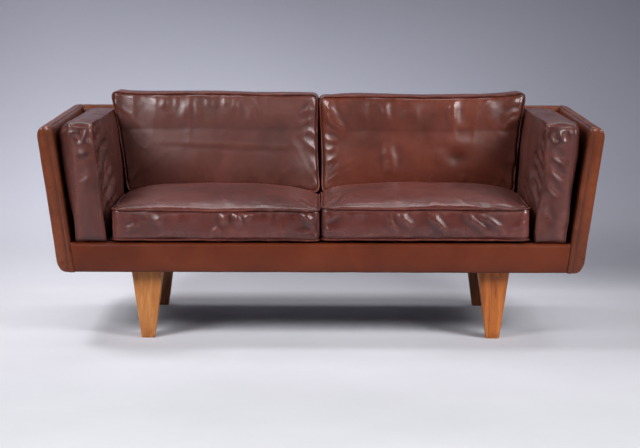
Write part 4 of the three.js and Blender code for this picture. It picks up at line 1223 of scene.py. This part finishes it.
def back_pad(side):
    tag = "right" if side > 0 else "left"
    # corners of the front seam: x at the bottom and top of each end, and heights of the top seam
    if side < 0:
        xl0, xl1, xr0, xr1 = -0.634, -0.690, -0.007, -0.013
        zl, zm, zr = 0.7150, 0.7035, 0.7035
    else:
        xl0, xl1, xr0, xr1 = 0.006, -0.004, 0.634, 0.674
        zl, zm, zr = 0.6935, 0.6965, 0.7090

    # u across, v up, t towards the rear
    def shape(q, crowned):
        u, v, t = q.T
        s = (v + 1) / 2
        A, H = 0.32, 0.147
        a, b = u * A, v * H
        for su in (-1, 1):
            a, b = corner(a, b, su * (A - 0.016), H - 0.016, su, 1, 0.016)
            a, b = corner(a, b, su * (A - 0.014), -(H - 0.014), su, -1, 0.014)
        # the sides pull in between the ears
        pull = 0.004 * bell(v, 2.2)
        a = a * (1 - pull / A)
        uu, vv = a / A, b / H
        s = (vv + 1) / 2
        xl, xr = mix(xl0, xl1, s), mix(xr0, xr1, s)
        x = mix(xl, xr, (uu + 1) / 2)
        ear = np.abs(uu) ** 5
        ztop = mix(zm, np.where(uu < 0, zl, zr), ear)
        ztop = ztop - 0.0020 * np.sin(uu * 4 + side)
        tt = (t + 1) / 2
        z = mix(0.4015 - 0.017 * np.abs(uu) ** 4, ztop, s) - 0.004 * tt
        y = mix(mix(0.176, 0.208, np.clip(s * 1.6, 0, 1)), mix(0.285, 0.344, s), tt)
        swell = 0.0085 * bell(t, 2.0)
        x = x + np.sign(u) * smooth(np.abs(u), 0.94, 1.0) * swell * 0.35
        # towards the rear the two cushions close up on each other
        x = x - side * 0.0028 * smooth(tt, 0.5, 1.0) * smooth(-side * u, 0.9, 1.0)
        z = z + smooth(v, 0.90, 1.0) * swell * 1.0 * bell(u, 10)
        front = (t < -1 + 1e-6) * 0.030 * dome(u, v, 2.6, 0.62)
        rear = (t > 1 - 1e-6) * 0.010 * dome(u, v, 2.6, 0.62)
        y = y - crowned * front + crowned * rear
        z = z + crowned * front * 0.10
        y = np.minimum(y, np.where(z < ARM_TOP + 0.004, back_in(np.minimum(z, ARM_TOP)) - 0.003, 0.352))
        return np.stack([x, y, z], 1)

    def detail(q, P, info):
        seed = 700 if side > 0 else 600
        XZ = P[:, [0, 2]]
        front, topbox = info["bottom"], (q[:, 1] > 1 - 1e-6)
        ends = smooth(info["v"] - info["u"], -0.01, 0.03)  # beside the upright seams
        boost = 0.6 + 1.1 * ends
        d = np.where(front, puckers(info, seed, 0.0050 * boost, 0.032, 50, 0.9), puckers(info, seed + 20, 0.0026, 0.020, 60))
        t = 0.0030 * fbm(XZ * np.array([6.0, 5.0]), seed + 40, 2)
        # slack hanging from the top seam in upright folds
        hang = ridge(noise(np.stack([XZ[:, 0] * 17, XZ[:, 1] * 2.2], 1), seed + 42), 2.2)
        t += 0.0034 * hang * smooth(XZ[:, 1], 0.50, 0.69)
        if side < 0:
            t += seg(XZ, (-0.512, 0.700), (-0.516, 0.650), 0.011, 0.0050)
            t += seg(XZ, (-0.450, 0.700), (-0.452, 0.600), 0.012, 0.0060)
            t += seg(XZ, (-0.412, 0.700), (-0.398, 0.620), 0.010, 0.0042)
            t += seg(XZ, (-0.232, 0.695), (-0.228, 0.590), 0.016, 0.0044)
            t += seg(XZ, (-0.350, 0.700), (-0.345, 0.655), 0.009, 0.0030)
            t += seg(XZ, (-0.560, 0.552), (-0.020, 0.530), 0.0060, 0.0014, 0.1, 0.3)
            t -= seg(XZ, (-0.560, 0.538), (-0.080, 0.516), 0.0070, 0.0012, 0.1)
            for fx, fz, fl, fh in ((-0.545, 0.66, 0.006, 0.0030), (-0.478, 0.655, 0.007, 0.0034), (-0.430, 0.64, 0.006, 0.0030), (-0.375, 0.655, 0.006, 0.0034), (-0.318, 0.66, 0.007, 0.0030), (-0.285, 0.65, 0.006, 0.0028)):
                t += seg(XZ, (fx, 0.702), (fx + 0.004, fz), fl, fh)
            t += seg(XZ, (-0.022, 0.660), (-0.075, 0.640), 0.0060, 0.0052)
            t += seg(XZ, (-0.020, 0.628), (-0.085, 0.600), 0.0065, 0.0056)
            t += seg(XZ, (-0.020, 0.596), (-0.080, 0.566), 0.0065, 0.0044)
            t += seg(XZ, (-0.100, 0.690), (-0.090, 0.470), 0.026, 0.0040)
            t += seg(XZ, (-0.640, 0.640), (-0.560, 0.560), 0.014, 0.0022)
        else:
            t += seg(XZ, (0.010, 0.686), (0.080, 0.560), 0.012, 0.0110, 0.15, 0.4)
            t += seg(XZ, (0.012, 0.640), (0.060, 0.590), 0.007, 0.0054, 0.15, 0.4)
            t += seg(XZ, (0.012, 0.600), (0.058, 0.575), 0.006, 0.0050)
            t += seg(XZ, (0.012, 0.560), (0.062, 0.548), 0.006, 0.0056)
            t += seg(XZ, (0.012, 0.520), (0.050, 0.528), 0.006, 0.0048)
            t += seg(XZ, (0.012, 0.480), (0.052, 0.500), 0.006, 0.0046)
            t += seg(XZ, (0.211, 0.694), (0.216, 0.610), 0.011, 0.0062)
            t += seg(XZ, (0.222, 0.556), (0.230, 0.425), 0.013, 0.0074, 0.2, 0.3)
            t -= seg(XZ, (0.252, 0.560), (0.258, 0.450), 0.018, 0.0040)
            t -= seg(XZ, (0.190, 0.560), (0.196, 0.450), 0.018, 0.0030)
            t += seg(XZ, (0.430, 0.694), (0.434, 0.600), 0.011, 0.0068, 0.2, 0.3)
            t -= seg(XZ, (0.462, 0.680), (0.470, 0.600), 0.018, 0.0036)
            t -= blob(XZ, (0.452, 0.500), (0.034, 0.026), 0.0070)
            t += blob(XZ, (0.452, 0.548), (0.045, 0.020), 0.0040)
            t += seg(XZ, (0.455, 0.418), (0.475, 0.450), 0.008, 0.0050)
            t += seg(XZ, (0.395, 0.540), (0.388, 0.470), 0.020, 0.0036)
            t += seg(XZ, (0.560, 0.690), (0.545, 0.600), 0.020, 0.0044)
            t += seg(XZ, (0.650, 0.660), (0.590, 0.620), 0.0065, 0.0056, 0.15, 0.4)
            t += seg(XZ, (0.648, 0.636), (0.590, 0.590), 0.0065, 0.0052, 0.15, 0.4)
            t += seg(XZ, (0.655, 0.690), (0.600, 0.664), 0.0075, 0.0050, 0.15, 0.4)
        for cxz, a in (((xl1, zl), 0.0050), ((xr1, zr), 0.0056), ((xl0, 0.41), 0.004), ((xr0, 0.41), 0.004)):
            t += fan(XZ, cxz, seed + 46, a, 0.055)
        d = d + front * t * smooth(info["edge"], 0.0, 0.012)
        d = d + topbox * 0.0022 * fbm(P[:, :2] * np.array([9.0, 14.0]), seed + 60, 2) * smooth(info["edge"], 0.0, 0.010)
        d = np.where(q[:, 1] < -1 + 1e-6, 0.0, d)
        return d

    return cushion(
        f"{tag}_back_cushion_leather", f"{tag}_back_cushion", (0.65, 0.295, 0.135), shape, detail,
        M["cushion_l" if side < 0 else "cushion_r"], 1200 + side, slack=0.020, pressure=2.6, gain=0.05, flip=True,
    )


for side in (-1, 1):
    seat(side)
    arm_pad(side)
    back_pad(side)

# ------------------------------------------------------------------ floor and sweep
def sweep():
    ys = [-9.0, -3.0, 0.6]
    zs = [0.0, 0.0, 0.0]
    R = 1.5
    for w in np.linspace(0, math.pi / 2, 25)[1:]:
        ys.append(0.6 + R * math.sin(w))
        zs.append(R - R * math.cos(w))
    ys.append(0.6 + R)
    zs.append(7.0)
    V, F = [], []
    for x in (-9.0, 9.0):
        V += [(x, y, z) for y, z in zip(ys, zs)]
    n = len(ys)
    for k in range(n - 1):
        F.append((k, n + k, n + k + 1, k + 1))
    me = bpy.data.meshes.new("studio_sweep")
    me.from_pydata(V, [], F)
    for p in me.polygons:
        p.use_smooth = True
    ob = bpy.data.objects.new("studio_sweep", me)
    bpy.context.scene.collection.objects.link(ob)
    m = Nodes("sweep_paint")
    z = m.t.nodes.new("ShaderNodeSeparateXYZ")
    m.link(m.tc.outputs["Object"], z.inputs[0])
    up = m.range(z.outputs[2], 0.0, 1.2)
    across = m.range(z.outputs[0], -1.1, 1.1)
    # painted shade: the wall is greyer than the floor and darkens from left to right, as the light falls off across it
    wall = m.blend(m.range(z.outputs[0], -1.1, 0.0), srgb(157, 158, 171), srgb(134, 135, 147))
    wall = m.blend(m.range(z.outputs[0], 0.0, 1.1), wall, srgb(134, 135, 147))
    # painted shadow: the floor behind the sofa is greyer, and more so to the right
    back = m.range(z.outputs[1], 0.5, 1.5)
    mott = m.range(m.noise(2.2, 4, 0.6), 0.3, 0.7)
    floor = m.blend(back, m.blend(mott, srgb(222, 222, 228), srgb(228, 228, 234)), m.blend(across, srgb(200, 201, 212), srgb(180, 181, 193)))
    color = m.blend(up, floor, wall)
    # the right of the sweep falls off into shade, most of all low on the wall
    low_wall = m.math("MULTIPLY", m.range(z.outputs[2], 1.0, 0.0), m.range(z.outputs[0], -0.3, 1.0))
    low_wall = m.math("MULTIPLY", low_wall, m.range(z.outputs[1], 0.3, 0.9))
    color = m.blend(m.math("MULTIPLY", low_wall, 0.58), color, srgb(80, 80, 90))
    side = m.math("MULTIPLY", m.range(z.outputs[0], 0.2, 1.1), m.range(z.outputs[1], -1.0, -0.4))
    side = m.math("MULTIPLY", side, m.range(z.outputs[2], 0.15, 0.0))
    color = m.blend(m.math("MULTIPLY", side, 0.28), color, srgb(70, 70, 80))
    paint = m.finish(color, 0.9, Specular_IOR_Level=0.1)
    # the paper has no reverse, so that it hides nothing from behind or from below
    tree = paint.node_tree
    out = next(n for n in tree.nodes if n.type == "OUTPUT_MATERIAL")
    face = tree.nodes.new("ShaderNodeNewGeometry")
    clear = tree.nodes.new("ShaderNodeBsdfTransparent")
    pick = tree.nodes.new("ShaderNodeMixShader")
    front = out.inputs["Surface"].links[0].from_socket
    tree.links.new(face.outputs["Backfacing"], pick.inputs[0])
    tree.links.new(front, pick.inputs[1])
    tree.links.new(clear.outputs[0], pick.inputs[2])
    tree.links.new(pick.outputs[0], out.inputs["Surface"])
    me.materials.append(paint)
    return ob


sweep()

# ------------------------------------------------------------------ lights and camera
def area(name, at, aim, size, power, color=(1, 1, 1), size_y=None, spread=180):
    li = bpy.data.lights.new(name, "AREA")
    li.energy = power
    li.color = color
    li.shape = "RECTANGLE"
    li.size = size
    li.size_y = size_y or size
    li.spread = math.radians(spread)
    ob = bpy.data.objects.new(name, li)
    bpy.context.scene.collection.objects.link(ob)
    ob.location = at
    ob.rotation_mode = "QUATERNION"
    ob.rotation_quaternion = (Vector(aim) - Vector(at)).to_track_quat("-Z", "Y")
    return ob


LIGHTS = [
    ("side_left", (-2.0, 0.45, 3.2), (-0.3, 0.1, 0.2), 0.7, 42, (0.99, 0.98, 1.0), 0.7, 180),
    ("side_right", (2.0, 0.45, 3.2), (0.3, 0.1, 0.2), 0.7, 16, (0.98, 0.98, 1.0), 0.7, 180),
    ("rear_top", (0, 1.5, 2.9), (0, 0.0, 0.2), 3.0, 11.5, (0.98, 0.98, 1.0), 0.8, 120),
    ("front_left", (-2.4, -2.3, 2.2), (-0.65, 0.1, 0.5), 1.6, 12.5, (0.98, 0.98, 1.0), 1.5, 50),
    ("front_right", (2.65, -2.1, 2.2), (0.65, 0.1, 0.5), 1.6, 14.5, (0.98, 0.97, 1.0), 1.5, 50),
    ("floor_front", (0, -3.5, 3.6), (0, -2.2, 0), 4.0, 23, (1, 1, 1), 1.0, 46),
]
for spec in LIGHTS:
    area(*spec)

world = bpy.data.worlds.new("studio")
bpy.context.scene.world = world
world.use_nodes = True
bg = world.node_tree.nodes["Background"]
bg.inputs[0].default_value = (0.8, 0.84, 1, 1)
bg.inputs[1].default_value = 0.012

cam = bpy.data.cameras.new("camera")
cam.lens = 111.72
cam.sensor_width = 36
cam.sensor_fit = "HORIZONTAL"
cam.clip_start, cam.clip_end = 0.1, 60
eye = bpy.data.objects.new("camera", cam)
bpy.context.scene.collection.objects.link(eye)
eye.matrix_world = (
    Matrix.Translation((-0.0021, FRONT_Y - 5.9157, 1.1951))
    @ Matrix.Rotation(math.radians(90 - 8.026), 4, "X")
    @ Matrix.Rotation(math.radians(0.16), 4, "Z")
)
bpy.context.scene.camera = eye
bpy.context.scene.view_settings.view_transform = "Standard"
bpy.context.scene.view_settings.look = "None"
